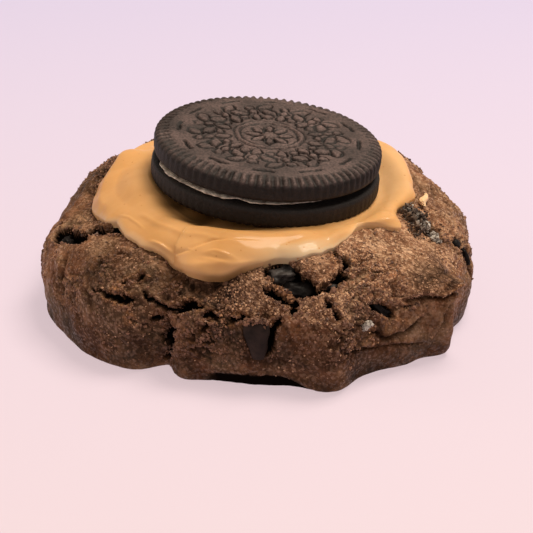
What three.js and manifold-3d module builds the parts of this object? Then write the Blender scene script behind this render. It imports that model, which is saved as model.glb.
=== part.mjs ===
// A thick bakery cookie of dark chocolate dough, with a pool of nut butter on its top and a cocoa
// sandwich biscuit pressed into the pool. Millimetres and degrees, +Z up. The origin is the middle
// of the underside, on the surface that the cookie stands on. Angle 0 is +X and -90 is the front.
import * as THREE from "three";
import { mergeVertices } from "three/addons/utils/BufferGeometryUtils.js";
import Module from "manifold-3d";

const wasm = await Module();
wasm.setup();

// Driving dimensions of the sandwich biscuit
const waferRadius = 22.5;
const lowerRadius = 22.7; // the lower wafer spread a little wider
const waferThickness = 4.6;
const cremeThickness = 0.7;
const layerGap = 0.2;
const rimRidges = 84;
const rimBand = 2.5; // the width of the ridged band round the face
const rimDrop = 1.2; // how far the band falls away to the wall
const biscuitX = 1.45; // its middle, from the dough's own axis
const biscuitY = 0.2;
const biscuitBase = 24.95; // height of its underside there
const slopeX = -0.095; // it sinks towards +X
const slopeY = 0.04; // and towards the front

// Driving dimensions of the pattern that stands proud of the upper wafer's face
const embossRise = 0.35;
const embossRoot = 0.4; // how far the pattern reaches into the wafer
const daisyPetals = 8;
const wreathSprigs = 12;

// Driving dimensions of the baked cookie
const cookieRadius = 42.2; // at its widest, before the lobes
const cookieHeight = 26;
const bellyHeight = 8.2; // where it is widest
const footInset = 1.9; // the foot stands inside the belly
const domePower = 2.6; // 2 is an ellipse, more is squarer
const lumpDepth = 0.9;
const seatDepth = 1.2; // from the biscuit's underside down to the pressed seat in the dough
const seatRadius = 19.3; // the seat is level with the biscuit out to here, then it turns up
const seatRise = 0.05;
const archAt = -86; // the foot lifts off the surface here, between two lobes
const archWide = 10;
const archLift = 0.4;
const undersideShare = 0.84; // the flat underside, as a share of the foot
const clearance = 0.3; // between neighbouring solids
const axisX = -0.2; // the dough's own axis, from the middle of the whole: its lobes are uneven
const axisY = 1.0;

// The dough slumped into lobes: the angle and width of each, and how far it pushes out the foot
// and the belly and lifts the shoulder
const lobes = [
  { at: -172, wide: 16, foot: 2.4, belly: 1.4, shoulder: -2.9 },
  { at: -140, wide: 12, foot: 1.5, belly: 0.8, shoulder: 0 },
  { at: -118, wide: 4.5, foot: -5.2, belly: -4.3, shoulder: 0 },
  { at: -102, wide: 12, foot: -1.9, belly: -1.6, shoulder: 0 },
  { at: -72, wide: 7, foot: 3.7, belly: 4.0, shoulder: 0 },
  { at: -46, wide: 6, foot: 1.4, belly: 1.6, shoulder: 0 },
  { at: -36, wide: 5, foot: 3.6, belly: 4.5, shoulder: 0 },
  { at: -12, wide: 12, foot: 1.6, belly: 1.7, shoulder: -0.3 },
  { at: 14, wide: 14, foot: 1.7, belly: 1.7, shoulder: 1.7 },
  { at: 38, wide: 16, foot: 3.0, belly: 3.0, shoulder: 3.4 },
  { at: 118, wide: 16, foot: 0.3, belly: 0.3, shoulder: 5.0 },
  { at: 140, wide: 13, foot: 3.4, belly: 5.5, shoulder: -0.2 },
  { at: 158, wide: 10, foot: 0.3, belly: 0.2, shoulder: 3.9 },
];

// Cracks in the crust: each path is pairs of an angle and a level on the skin
const cracks = [
  { wide: 2.6, deep: 3.4, path: [[-171, 0.74], [-165.5, 0.67], [-161, 0.6], [-152, 0.46], [-149, 0.43]] },
  { wide: 1.4, deep: 1.4, path: [[-146, 0.91], [-140, 0.84], [-130.5, 0.84], [-125.5, 0.84]] },
  { wide: 1.7, deep: 2.2, path: [[-124, 0.77], [-120.5, 0.85], [-117.5, 0.92], [-114.5, 0.96]] },
  { wide: 2.0, deep: 2.6, path: [[-118.5, 0.93], [-115, 0.92], [-111, 0.84], [-103, 0.77]] },
  { wide: 1.6, deep: 2.4, path: [[-115, 0.92], [-115.2, 1.02], [-115.8, 1.2], [-117, 1.6], [-118, 1.85]] },
  { wide: 1.2, deep: 1.4, path: [[-104, 0.83], [-101, 0.84], [-99, 0.87], [-93, 0.87]] },
  { wide: 2.0, deep: 3.0, path: [[-84.5, 0.78], [-86, 0.84], [-86.6, 0.92], [-87.6, 1], [-89, 1.13]] },
  { wide: 4.2, deep: 3.4, path: [[-88, 0.5], [-83.5, 0.53], [-80, 0.57], [-76.5, 0.61], [-72, 0.59]] },
  { wide: 2.4, deep: 2.6, path: [[-77, 0.61], [-71, 0.59], [-62.5, 0.58], [-60, 0.54], [-61.5, 0.5]] },
  { wide: 1.8, deep: 2.2, path: [[-88, 0.58], [-84.5, 0.64], [-81, 0.68], [-77, 0.69]] },
  { wide: 1.6, deep: 2.0, path: [[-74, 0.64], [-73, 0.69], [-72.2, 0.75], [-71, 0.83]] },
  { wide: 1.9, deep: 2.4, path: [[-60.5, 0.81], [-56.6, 0.862], [-54.4, 0.893], [-51.4, 0.94]] },
  { wide: 1.8, deep: 2.2, path: [[-16.5, 0.57], [-13, 0.66], [-14, 0.73], [-13, 0.8], [-12, 0.9]] },
  { wide: 2.2, deep: 1.3, path: [[-53, 0.84], [-47.5, 0.84], [-42, 0.87], [-36, 0.86], [-21, 0.96]] },
  { wide: 2.0, deep: 1.5, path: [[-43, 1.06], [-39.5, 0.99], [-35, 0.95], [-27, 0.96], [-19, 1.04]] },
  { wide: 2.2, deep: 1.3, path: [[-66, 1.0], [-60, 1.05], [-48, 1.04], [-43, 1.1], [-41, 1.3], [-41, 1.6]] },
  { wide: 2.0, deep: 2.2, path: [[24, 0.62], [30, 0.68], [35, 0.76], [34, 0.86], [38, 0.95]] },
  { wide: 2.4, deep: 2.6, path: [[58, 0.56], [66, 0.62], [74, 0.66], [82, 0.74], [84, 0.96], [87, 1.2]] },
  { wide: 1.8, deep: 2.0, path: [[75, 0.66], [84, 0.62], [92, 0.6], [100, 0.63], [106, 0.7]] },
  { wide: 2.2, deep: 2.4, path: [[112, 0.7], [119, 0.78], [121, 0.88], [117, 0.98], [119, 1.25]] },
  { wide: 1.9, deep: 2.0, path: [[150, 0.72], [156, 0.8], [155, 0.9], [161, 0.98], [168, 1.02]] },
];

// Pieces baked into the crust: size is across the skin, down it and through it, sink is how deep
// the middle lies, turn is about the way out, and taper narrows the lower end
const chocolate = { color: 0x241a18, roughness: 0.4 };
const crushedBiscuit = { color: 0x6b5e57, roughness: 0.85 };
const inclusions = [
  { name: "chocolate_front", at: -90, level: 0.965, size: [5.4, 7.8, 3.4], sink: 1.1, turn: 3, taper: 0.45 },
  { name: "chocolate_hollow", at: -79.5, level: 0.575, size: [6.2, 3.6, 3], sink: 2.2, turn: -20 },
  { name: "chocolate_left", at: -168.5, level: 0.72, size: [3.6, 3.4, 3.6], sink: 1.5, turn: 15, taper: 0.1 },
  { name: "chocolate_right", at: -54.6, level: 0.884, size: [4, 1.7, 3], sink: 1.1, turn: -50 },
  { name: "chocolate_rim", at: -14.6, level: 0.8, size: [2.8, 4.2, 3], sink: 0.8 },
  { name: "biscuit_crumb", at: -18.5, level: 0.575, size: [5.2, 4.4, 2.6], sink: 0.55, turn: 10 },
  { name: "chocolate_back", at: 78, level: 0.72, size: [5, 4, 3.2], sink: 1.1, turn: 25, taper: 0.2 },
  { name: "chocolate_back_left", at: 120, level: 0.92, size: [3.8, 5, 3], sink: 0.9, turn: -10, taper: 0.3 },
];

// The nut butter's edge, as angle and radius about the biscuit's axis
const poolEdge = [
  [-176.6, 34.3], [-167, 33.1], [-151, 32.3], [-141.4, 33.8], [-126.5, 33.8], [-118, 34.0],
  [-108.5, 36.2], [-98.5, 34.7], [-86, 32.0], [-76, 32.7], [-66.7, 31.1], [-54.5, 28.1], [-46, 27.3],
  [-42.4, 29.0], [-36, 32.1], [-30, 29.5], [-21.5, 28.0], [-12.5, 29.2], [1, 29.7], [19.5, 30.7],
  [31.5, 31.7], [44.4, 30.7], [64.4, 28.4], [94.5, 26.3], [119.8, 28.7], [138, 32.6], [150.1, 32.7],
  [163.2, 31.7], [172.3, 33.8],
];
// and its thickness there, as angle and millimetres
const poolThickness = [
  [-170, 2.2], [-142, 1.9], [-128, 2.2], [-117, 2.7], [-107, 3.1], [-97, 2.8], [-85, 1.9],
  [-70, 1.3], [-48, 0.9], [-36, 1.5], [0, 1.9], [35, 1.3], [90, 1.6], [140, 1.5],
];
const meniscus = 0.6; // how far it climbs the lower wafer's wall
const meniscusReach = 5.5; // how far out the climb can be seen
const recessRadius = lowerRadius + clearance;

const radians = (degrees) => (degrees * Math.PI) / 180;
const angles = (n) => Array.from({ length: n }, (_, i) => -180 + (i * 360) / n);
const clamp01 = (x) => Math.min(Math.max(x, 0), 1);
const mix = (a, b, share) => a + (b - a) * share;
const smooth = (low, high, x) => {
  const t = clamp01((x - low) / (high - low));
  return t * t * (3 - 2 * t);
};
const turnFrom = (angle, start) => (((angle - start) % 360) + 360) % 360;
const bump = (angle, centre, wide) => {
  const away = turnFrom(angle + 180, centre) - 180;
  return Math.exp(-((away / wide) ** 2));
};
const softplus = (x, width) => width * Math.log1p(Math.exp(Math.min(x / width, 40)));

// A smooth closed curve through pairs of an angle and a value
function closedCurve(pairs, angle) {
  const at = (i) => pairs[(i + pairs.length) % pairs.length];
  const span = (i) => turnFrom(at(i + 1)[0], at(i)[0]);
  const i = pairs.findIndex((pair, k) => turnFrom(angle, pair[0]) < span(k));
  const t = turnFrom(angle, at(i)[0]) / span(i);
  const [a, b, c, d] = [i - 1, i, i + 1, i + 2].map((k) => at(k)[1]);
  return b + 0.5 * t * (c - a + t * (2 * a - 5 * b + 4 * c - d + t * (3 * (b - c) + d - a)));
}

// The foot's and belly's radius and the shoulder's extra height at an angle
function lobesAt(angle) {
  const sum = { foot: cookieRadius - footInset, belly: cookieRadius, shoulder: 0 };
  for (const lobe of lobes) {
    const share = bump(angle, lobe.at, lobe.wide);
    for (const key of ["foot", "belly", "shoulder"]) sum[key] += lobe[key] * share;
  }
  return sum;
}

// The plane of the biscuit's underside
const biscuitPlane = (x, y) => biscuitBase + slopeX * (x - biscuitX) + slopeY * (y - biscuitY);

// The dome's height over a point: a superellipse with raised shoulders, pressed down by the biscuit
function domeHeight(x, y) {
  const { belly, shoulder } = lobesAt((Math.atan2(y, x) * 180) / Math.PI);
  const share = Math.min(Math.hypot(x, y) / belly, 1);
  const fall = (1 - share ** domePower) ** (1 / domePower);
  const ridge = shoulder * Math.exp(-(((share - 0.74) / 0.17) ** 2)) * fall ** 0.4;
  const dome = bellyHeight + (cookieHeight - bellyHeight) * fall + ridge;
  const beyond = Math.max(Math.hypot(x - biscuitX, y - biscuitY) - seatRadius, 0);
  const seat = biscuitPlane(x, y) - seatDepth + seatRise * beyond ** 2;
  return dome - softplus(dome - seat, 0.5);
}

// A point of the cookie's skin: level 0 is the top's middle, 1 the belly and 2 the foot
function skin(angle, level) {
  const { foot, belly } = lobesAt(angle);
  const [ahead, aside] = [Math.cos(radians(angle)), Math.sin(radians(angle))];
  if (level <= 1) {
    const r = belly * Math.sin((level * Math.PI) / 2) ** (2 / domePower);
    return new THREE.Vector3(r * ahead, r * aside, domeHeight(r * ahead, r * aside));
  }
  const down = Math.sin(((level - 1) * Math.PI) / 2);
  const tuck = clamp01((level - 1.8) / 0.2) ** 2;
  const r = foot + (belly - foot) * Math.sqrt(1 - down * down) - tuck;
  const lift = archLift * bump(angle, archAt, archWide) * down ** 4;
  return new THREE.Vector3(r * ahead, r * aside, bellyHeight * (1 - down) + lift);
}

// The skin's outward direction
function outward(angle, level) {
  const east = skin(angle + 0.5, level).sub(skin(angle - 0.5, level));
  const above = skin(angle, Math.max(level - 0.01, 0.02));
  return skin(angle, Math.min(level + 0.01, 2)).sub(above).cross(east).normalize();
}

// How far the crust is sunk between its lumps, from 0 to 1
function lumps({ x, y, z }) {
  const across = Math.sin(0.42 * x + 1.3 * Math.sin(0.31 * z + 0.2 * y));
  const along = Math.sin(0.47 * y + 0.9 * Math.sin(0.36 * x));
  const fine = Math.sin(0.9 * z + 0.7 * x) * Math.sin(0.8 * y + 0.5 * z);
  return 0.5 + 0.15 * (across + along) + 0.2 * fine;
}

// A closed solid from rings of points, from the top down, with a point at each end
function ringSolid(top, rings, bottom) {
  const n = rings[0].length;
  const last = rings.length - 1;
  const points = [top, ...rings.flat(), bottom];
  const at = (ring, i) => 1 + ring * n + (i % n);
  const faces = [];
  for (let i = 0; i < n; i++) {
    faces.push(0, at(0, i), at(0, i + 1));
    for (let k = 0; k < last; k++) {
      faces.push(at(k, i), at(k + 1, i), at(k + 1, i + 1));
      faces.push(at(k, i), at(k + 1, i + 1), at(k, i + 1));
    }
    faces.push(at(last, i), points.length - 1, at(last, i + 1));
  }
  const geometry = new THREE.BufferGeometry().setFromPoints(points);
  geometry.setIndex(faces);
  return geometry;
}

function toSolid(geometry) {
  const bare = geometry.clone();
  for (const name of ["normal", "uv"]) bare.deleteAttribute(name);
  const merged = mergeVertices(bare, 1e-4);
  const vertProperties = merged.attributes.position.array;
  const triVerts = new Uint32Array(merged.index.array);
  return new wasm.Manifold(new wasm.Mesh({ numProp: 3, vertProperties, triVerts }));
}

// The largest piece of a solid, as a geometry
function toGeometry(solid) {
  const main = solid.decompose().sort((a, b) => b.volume() - a.volume())[0];
  const mesh = main.getMesh();
  const geometry = new THREE.BufferGeometry();
  geometry.setAttribute("position", new THREE.Float32BufferAttribute(mesh.vertProperties, 3));
  geometry.setIndex([...mesh.triVerts]);
  geometry.computeVertexNormals();
  return geometry;
}

function namedMesh(name, geometry, look) {
  const mesh = new THREE.Mesh(geometry, new THREE.MeshStandardMaterial({ metalness: 0, ...look }));
  mesh.name = name;
  return mesh;
}

// ---- Baked cookie ----

const crustAngles = angles(80);
const crustLevels = [
  0.2, 0.26, 0.33, 0.41, 0.5, 0.58, 0.66, 0.74, 0.82, 0.9, 0.98, 1.1, 1.26, 1.44, 1.64, 1.84, 2,
];

function crustSolid() {
  const rings = crustLevels.map((level) => {
    const lumpy = smooth(0.45, 0.6, level) * (1 - smooth(1.6, 2, level));
    return crustAngles.map((angle) => {
      const p = skin(angle, level);
      return p.addScaledVector(outward(angle, level), -lumpDepth * lumpy * lumps(p));
    });
  });
  const flatten = new THREE.Vector3(undersideShare, undersideShare, 0);
  const underside = rings.at(-1).map((p) => p.clone().multiply(flatten));
  return toSolid(ringSolid(skin(0, 0), [...rings, underside], new THREE.Vector3(0, 0, 0)));
}

// A V-shaped cut along a path on the skin, small at both ends
function crack({ path, wide, deep }) {
  const lipHeight = 0.8;
  const endSize = 0.3;
  const last = path.length - 1;
  const sections = path.map(([angle, level], i) => {
    const p = skin(angle, level);
    const out = outward(angle, level);
    const ahead = skin(...path[Math.min(i + 1, last)]).sub(skin(...path[Math.max(i - 1, 0)]));
    const side = new THREE.Vector3().crossVectors(out, ahead).normalize();
    const size = i === 0 || i === last ? endSize : 1;
    const lip = p.clone().addScaledVector(out, lipHeight);
    return [
      lip.clone().addScaledVector(side, 0.62 * wide * size),
      p.clone().addScaledVector(out, -deep * size),
      lip.clone().addScaledVector(side, -0.62 * wide * size),
    ];
  });
  const middle = ([a, b, c]) => a.clone().add(b).add(c).divideScalar(3);
  return toSolid(ringSolid(middle(sections[0]), sections, middle(sections[last])));
}

// A lump with rounded corners, grown by the clearance where it cuts its own pocket
function lump([across, down, through], taper, grow) {
  const rings = [0.16, 0.36, 0.56, 0.76, 0.92].map((row, k) => {
    const height = 0.5 * down * Math.cos(row * Math.PI);
    const narrow = 1 - taper * (0.5 - height / down);
    return angles(10).map((angle, i) => {
      const size = 0.5 * Math.sin(row * Math.PI) ** 0.55 * (1 + 0.07 * Math.sin(2.3 * i + 1.7 * k));
      const x = (across * narrow * size + grow) * Math.cos(radians(angle));
      const z = -(through * size + grow) * Math.sin(radians(angle));
      return new THREE.Vector3(x, height * (1 + (2 * grow) / down), z);
    });
  });
  const end = 0.5 * down + grow;
  return ringSolid(new THREE.Vector3(0, end, 0), rings, new THREE.Vector3(0, -end, 0));
}

function inclusionGeometry({ at, level, size, sink, turn = 0, taper = 0 }, grow) {
  const out = outward(at, level);
  const east = new THREE.Vector3(-Math.sin(radians(at)), Math.cos(radians(at)), 0);
  const up = new THREE.Vector3().crossVectors(out, east).normalize();
  const across = new THREE.Vector3().crossVectors(up, out);
  const place = new THREE.Matrix4().makeBasis(across, up, out);
  place.setPosition(skin(at, level).addScaledVector(out, -sink));
  return lump(size, taper, grow).rotateZ(radians(turn)).applyMatrix4(place);
}

function bakedCookie() {
  let solid = crustSolid();
  for (const one of cracks) solid = solid.subtract(crack(one));
  for (const piece of inclusions) {
    solid = solid.subtract(toSolid(inclusionGeometry(piece, clearance)));
  }
  return toGeometry(solid);
}

// ---- Nut butter ----

// A point over the dome: with lean 1 the thickness is square to the dome, with 0 it is straight up
function overDome(angle, radius, thick, lean) {
  const x = biscuitX + radius * Math.cos(radians(angle));
  const y = biscuitY + radius * Math.sin(radians(angle));
  const step = 0.2;
  const slope = new THREE.Vector3(
    lean * (domeHeight(x - step, y) - domeHeight(x + step, y)),
    lean * (domeHeight(x, y - step) - domeHeight(x, y + step)),
    2 * step,
  ).normalize();
  return new THREE.Vector3(x, y, domeHeight(x, y)).addScaledVector(slope, clearance + thick);
}

function nutButter() {
  const thinnest = 0.25;
  const spokes = angles(56).map((angle) => ({
    angle,
    edge: closedCurve(poolEdge, angle),
    thick: closedCurve(poolThickness, angle),
  }));
  // the recess that holds the lower wafer
  const floor = (radius) =>
    spokes.map(({ angle }) => {
      const p = overDome(angle, radius, 0, 0);
      return p.setZ(Math.max(biscuitPlane(p.x, p.y) - clearance, p.z + thinnest));
    });
  // the free surface, from the wafer's wall at share 0 to the rounded edge at 1
  const free = (share) =>
    spokes.map(({ angle, edge, thick }) => {
      const radius = mix(recessRadius + 0.15, edge, share);
      const round = Math.sqrt(1 - share ** 5);
      const rim = overDome(angle, radius, thick * round, smooth(0, 0.6, share));
      const climb = biscuitPlane(rim.x, rim.y) + meniscus;
      const away = smooth(recessRadius, recessRadius + meniscusReach, radius);
      const lowest = overDome(angle, radius, 0.05, 1).z;
      return rim.setZ(Math.max(mix(climb, rim.z, Math.max(away, share ** 3)), lowest));
    });
  // the underside, which follows the dome
  const under = (share) => spokes.map(({ angle, edge }) => overDome(angle, share * edge, 0, 1));
  const rings = [
    ...[13, recessRadius].map(floor),
    ...[0, 0.28, 0.55, 0.78, 0.93, 0.99].map(free),
    ...[0.985, 0.91, 0.84, 0.77, 0.7, 0.56, 0.34].map(under),
  ];
  const middle = new THREE.Vector3(biscuitX, biscuitY, biscuitBase - clearance);
  return ringSolid(middle, rings, overDome(0, 0, 0, 1));
}

// A small dab of nut butter that fell clear of the pool
function nutButterDab() {
  const size = [2.0, 3.4, 1.4];
  const [at, level] = [-2, 0.507];
  const out = outward(at, level);
  const middle = skin(at, level).addScaledVector(out, size[2] / 2 + clearance);
  const face = new THREE.Quaternion().setFromUnitVectors(new THREE.Vector3(0, 0, 1), out);
  const shape = lump(size, 0.3, 0).rotateZ(radians(-70));
  return shape.applyQuaternion(face).translate(middle.x, middle.y, middle.z);
}

// ---- Sandwich biscuit ----

// One ring of a wafer: between the ridges it is lower by drop and further in by notch
function waferRing(radius, z, drop = 0, notch = 0) {
  return angles(2 * rimRidges).map((angle, i) => {
    const low = i % 2 ? 0 : 1;
    const r = radius - notch * low;
    return new THREE.Vector3(r * Math.cos(radians(angle)), r * Math.sin(radians(angle)), z - drop * low);
  });
}

// A wafer with its face up: the upper one shows a ridged band round its face
function wafer(radius, banded) {
  const face = waferThickness;
  const inner = radius - rimBand;
  const band = [waferRing(inner - 0.4, face), waferRing(inner, face + 0.05, 0.35)];
  const rim = [
    waferRing(radius - 0.7, face - 0.3 * rimDrop, 0.45, 0.05),
    waferRing(radius, face - rimDrop, 0.1, 0.28),
    waferRing(radius, 0.55, 0, 0.18),
    waferRing(radius - 0.6, 0),
  ];
  const rings = banded ? [...band, ...rim] : rim;
  return ringSolid(new THREE.Vector3(0, 0, face), rings, new THREE.Vector3(0, 0, 0));
}

// A flat ring that stands proud of the wafer's face
function faceRing(radius, width) {
  const [inner, outer] = [radius - width / 2, radius + width / 2];
  const [low, high] = [waferThickness - embossRoot, waferThickness + embossRise];
  const corners = [[inner, low], [outer, low], [outer, high], [inner, high], [inner, low]];
  const profile = corners.map(([r, z]) => new THREE.Vector2(r, z));
  return new THREE.LatheGeometry(profile, 48).rotateX(Math.PI / 2);
}

// A pointed oval that stands proud of the wafer's face, leaning from the way out
function leaf({ radius, angle, long, wide, lean = 0 }) {
  const corners = [[-0.5, 0], [-0.17, -0.5], [0.25, -0.5], [0.5, 0], [0.25, 0.5], [-0.17, 0.5]];
  const outline = new THREE.Shape(corners.map(([x, y]) => new THREE.Vector2(x * long, y * wide)));
  const depth = embossRoot + embossRise;
  const solid = new THREE.ExtrudeGeometry(outline, { depth, bevelEnabled: false });
  solid.rotateZ(radians(angle + lean));
  const [x, y] = [radius * Math.cos(radians(angle)), radius * Math.sin(radians(angle))];
  return solid.translate(x, y, waferThickness - embossRoot);
}

// A daisy in a ring, with a wreath of leaves round it and a ring round them
function garland() {
  const pieces = [faceRing(6.4, 0.7), faceRing(17.8, 0.6)];
  for (let i = 0; i < daisyPetals; i++) {
    pieces.push(leaf({ radius: 3.2, angle: (i * 360) / daisyPetals, long: 3.4, wide: 1.3 }));
  }
  for (let i = 0; i < wreathSprigs; i++) {
    const angle = (i * 360) / wreathSprigs;
    pieces.push(leaf({ radius: 9.2, angle: angle + 15, long: 2.6, wide: 1.3 }));
    pieces.push(leaf({ radius: 11.9, angle, long: 3.6, wide: 1.4, lean: 52 }));
    pieces.push(leaf({ radius: 14.7, angle: angle + 4, long: 3.6, wide: 1.4, lean: 128 }));
  }
  return pieces;
}

function embossedWafer() {
  let solid = toSolid(wafer(waferRadius, true));
  for (const piece of garland()) solid = solid.add(toSolid(piece));
  return toGeometry(solid);
}

function cremeDisc() {
  const edge = 21;
  const bulge = 0.6;
  const corners = [
    [0, 0], [edge, 0], [edge + bulge, cremeThickness / 2], [edge, cremeThickness], [0, cremeThickness],
  ];
  const profile = corners.map(([r, z]) => new THREE.Vector2(r, z));
  return new THREE.LatheGeometry(profile, 60).rotateX(Math.PI / 2);
}

function sandwichBiscuit() {
  const cocoa = { color: 0x2b201d, roughness: 0.65 };
  const lower = namedMesh("lower_wafer", wafer(lowerRadius, false), cocoa);
  lower.rotation.x = Math.PI; // face down
  lower.position.z = waferThickness;
  const filling = namedMesh("creme_filling", cremeDisc(), { color: 0xd9cfc2, roughness: 0.6 });
  filling.position.z = waferThickness + layerGap;
  const upper = namedMesh("upper_wafer", embossedWafer(), cocoa);
  upper.position.z = waferThickness + cremeThickness + 2 * layerGap;
  const biscuit = new THREE.Group();
  biscuit.add(lower, filling, upper);
  biscuit.position.set(biscuitX, biscuitY, biscuitBase);
  biscuit.rotation.set(Math.atan(slopeY), -Math.atan(slopeX), 0);
  return biscuit;
}

const butter = { color: 0xd79d61, roughness: 0.35 };
const cookie = new THREE.Group();
cookie.position.set(axisX, axisY, 0);
cookie.add(namedMesh("baked_cookie", bakedCookie(), { color: 0x4f3526, roughness: 0.9 }));
cookie.add(namedMesh("nut_butter", nutButter(), butter));
cookie.add(namedMesh("nut_butter_dab", nutButterDab(), butter));
for (const piece of inclusions) {
  const look = piece.name.startsWith("chocolate") ? chocolate : crushedBiscuit;
  cookie.add(namedMesh(piece.name, inclusionGeometry(piece, 0), look));
}
cookie.add(sandwichBiscuit());

const toppedCookie = new THREE.Group();
toppedCookie.add(cookie);

export default toppedCookie;
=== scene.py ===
import itertools
import math

import bpy
import numpy as np
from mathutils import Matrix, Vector


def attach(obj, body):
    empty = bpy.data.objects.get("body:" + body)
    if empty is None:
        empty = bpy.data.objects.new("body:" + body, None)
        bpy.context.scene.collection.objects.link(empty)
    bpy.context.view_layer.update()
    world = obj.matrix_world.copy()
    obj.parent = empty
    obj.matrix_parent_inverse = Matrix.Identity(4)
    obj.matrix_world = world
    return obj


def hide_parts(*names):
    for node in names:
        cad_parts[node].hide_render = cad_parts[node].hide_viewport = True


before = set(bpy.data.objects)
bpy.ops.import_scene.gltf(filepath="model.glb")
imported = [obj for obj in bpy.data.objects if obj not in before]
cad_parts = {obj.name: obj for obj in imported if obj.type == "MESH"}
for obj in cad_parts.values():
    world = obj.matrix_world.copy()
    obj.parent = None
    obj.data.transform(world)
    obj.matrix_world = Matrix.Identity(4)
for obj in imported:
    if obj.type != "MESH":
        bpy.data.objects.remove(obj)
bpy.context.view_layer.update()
print("frame loaded:", len(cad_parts), "solids")

doughAxis = np.array([-0.2, 1.0, 0.0])  # from the middle of the whole


# millimetres and degrees, with the aim from the middle of the underside
camera = {"aim": (1.7, -4.0, 9.0), "away": 380.0, "elevation": 24.0, "lens": 128.35, "sensor": 36.0}


def placeCamera():
    # straight back from the aim along the elevation, looking down it
    up = math.radians(camera["elevation"])
    x, y, z = camera["aim"]
    data = bpy.data.cameras.new("camera")
    data.lens, data.sensor_width = camera["lens"], camera["sensor"]
    data.clip_start, data.clip_end = 0.01, 10
    eye = bpy.data.objects.new("camera", data)
    back, rise = camera["away"] * math.cos(up), camera["away"] * math.sin(up)
    eye.location = (x / 1000, (y - back) / 1000, (z + rise) / 1000)
    eye.rotation_euler = (math.pi / 2 - up, 0, 0)
    bpy.context.scene.collection.objects.link(eye)
    bpy.context.scene.camera = eye


placeCamera()


def smooth(low, high, x):
    # 0 below low, 1 above high, and a soft S between
    t = np.clip((x - low) / (high - low), 0, 1)
    return t * t * (3 - 2 * t)


def bell(offset, wide):
    # 1 at no offset, falling to about a third one width away on either side
    return np.exp(-(offset / wide) ** 2)


def latticeRandom(cells, seed):
    # a share from 0 to 1 for each whole-number cell, by mixing the bits of its coordinates
    cell = cells.astype(np.int64).astype(np.uint32)
    mixed = cell[..., 0] * np.uint32(73856093) ^ cell[..., 1] * np.uint32(19349663)
    mixed = mixed ^ cell[..., 2] * np.uint32(83492791) ^ np.uint32(seed * 40503 + 977)
    mixed = (mixed ^ (mixed >> 15)) * np.uint32(2246822519)
    mixed = (mixed ^ (mixed >> 13)) * np.uint32(3266489917)
    return (mixed ^ (mixed >> 16)) / 4294967296.0


def valueNoise(points, size, seed):
    # from -1 to 1: the shares of the eight cell corners round each point, blended by its place
    p = points / size
    base = np.floor(p)
    t = p - base
    t = t * t * t * (t * (t * 6 - 15) + 10)
    total = np.zeros(p.shape[:-1])
    for corner in itertools.product((0, 1), repeat=3):
        weight = np.prod(np.where(np.array(corner, bool), t, 1 - t), axis=-1)
        total += weight * latticeRandom(base + np.array(corner), seed)
    return 2 * total - 1


turnOnce = np.array([[0.36, 0.48, -0.8], [-0.8, 0.6, 0.0], [0.48, 0.64, 0.6]])


def layeredNoise(points, size, seed, octaves=3, gain=0.5):
    # noise plus finer noise on a turned lattice, each octave half the size
    p, total, weight = points, 0.0, 0.0
    for octave in range(octaves):
        share = gain ** octave
        total = total + share * valueNoise(p, size / 2 ** octave, seed + octave)
        weight += share
        p = p @ turnOnce.T + 7.3
    return total / weight


def warped(points, size, amount, seed):
    # each point pushed aside by noise, so that what is measured from it gets a ragged edge
    push = np.stack([layeredNoise(points, size, seed + 10 * k, 2) for k in range(3)], axis=-1)
    return points + amount * push


def cellNoise(points, size, seed):
    # distances, in cells, to the nearest two of one loose point per cell, and the nearest one's
    # own share
    p = points / size
    base = np.floor(p)
    nearest, second = np.full((2, *p.shape[:-1]), 9.0)
    own = np.zeros(p.shape[:-1])
    for step in itertools.product((-1, 0, 1), repeat=3):
        cell = base + np.array(step)
        loose = np.stack([latticeRandom(cell, seed + k) for k in range(3)], axis=-1)
        away = np.linalg.norm(p - cell - loose, axis=-1)
        closer = away < nearest
        second = np.where(closer, nearest, np.minimum(second, away))
        own = np.where(closer, latticeRandom(cell, seed + 3), own)
        nearest = np.minimum(nearest, away)
    return nearest, second, own


def lengthAlong(line):
    # how far along a chain of points each one lies
    return np.concatenate([[0], np.cumsum(np.linalg.norm(np.diff(line, axis=0), axis=1))])


def strokeDistance(points, line, out):
    # distance to a chain of points, positive on its left seen from outside, and how far along it
    # the nearest place is, from 0 to 1
    reach = lengthAlong(line)
    best, along, side = np.full(len(points), 1e9), np.zeros(len(points)), np.ones(len(points))
    for k in range(len(line) - 1):
        step = line[k + 1] - line[k]
        share = np.clip((points - line[k]) @ step / (step @ step), 0, 1)
        offset = points - line[k] - share[:, None] * step
        away = np.linalg.norm(offset, axis=1)
        closer = away < best
        best = np.where(closer, away, best)
        side = np.where(closer, np.sign(np.sum(np.cross(step, offset) * out, axis=1)), side)
        along = np.where(closer, (reach[k] + share * (reach[k + 1] - reach[k])) / reach[-1], along)
    return best * side, along


def closedCurve(pairs, angle):
    # a smooth closed curve through pairs of an angle and a value: a cubic between two pairs, whose
    # slopes look to the pairs beyond
    pairs = np.array(pairs, float)
    starts, values, count = pairs[:, 0], pairs[:, 1], len(pairs)
    turn = (angle[..., None] - starts) % 360
    i = np.argmin(turn, axis=-1)
    span = (starts[(i + 1) % count] - starts[i]) % 360
    t = np.min(turn, axis=-1) / span
    a, b, c, d = (values[(i + k) % count] for k in (-1, 0, 1, 2))
    return b + 0.5 * t * (c - a + t * (2 * a - 5 * b + 4 * c - d + t * (3 * (b - c) + d - a)))


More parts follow.
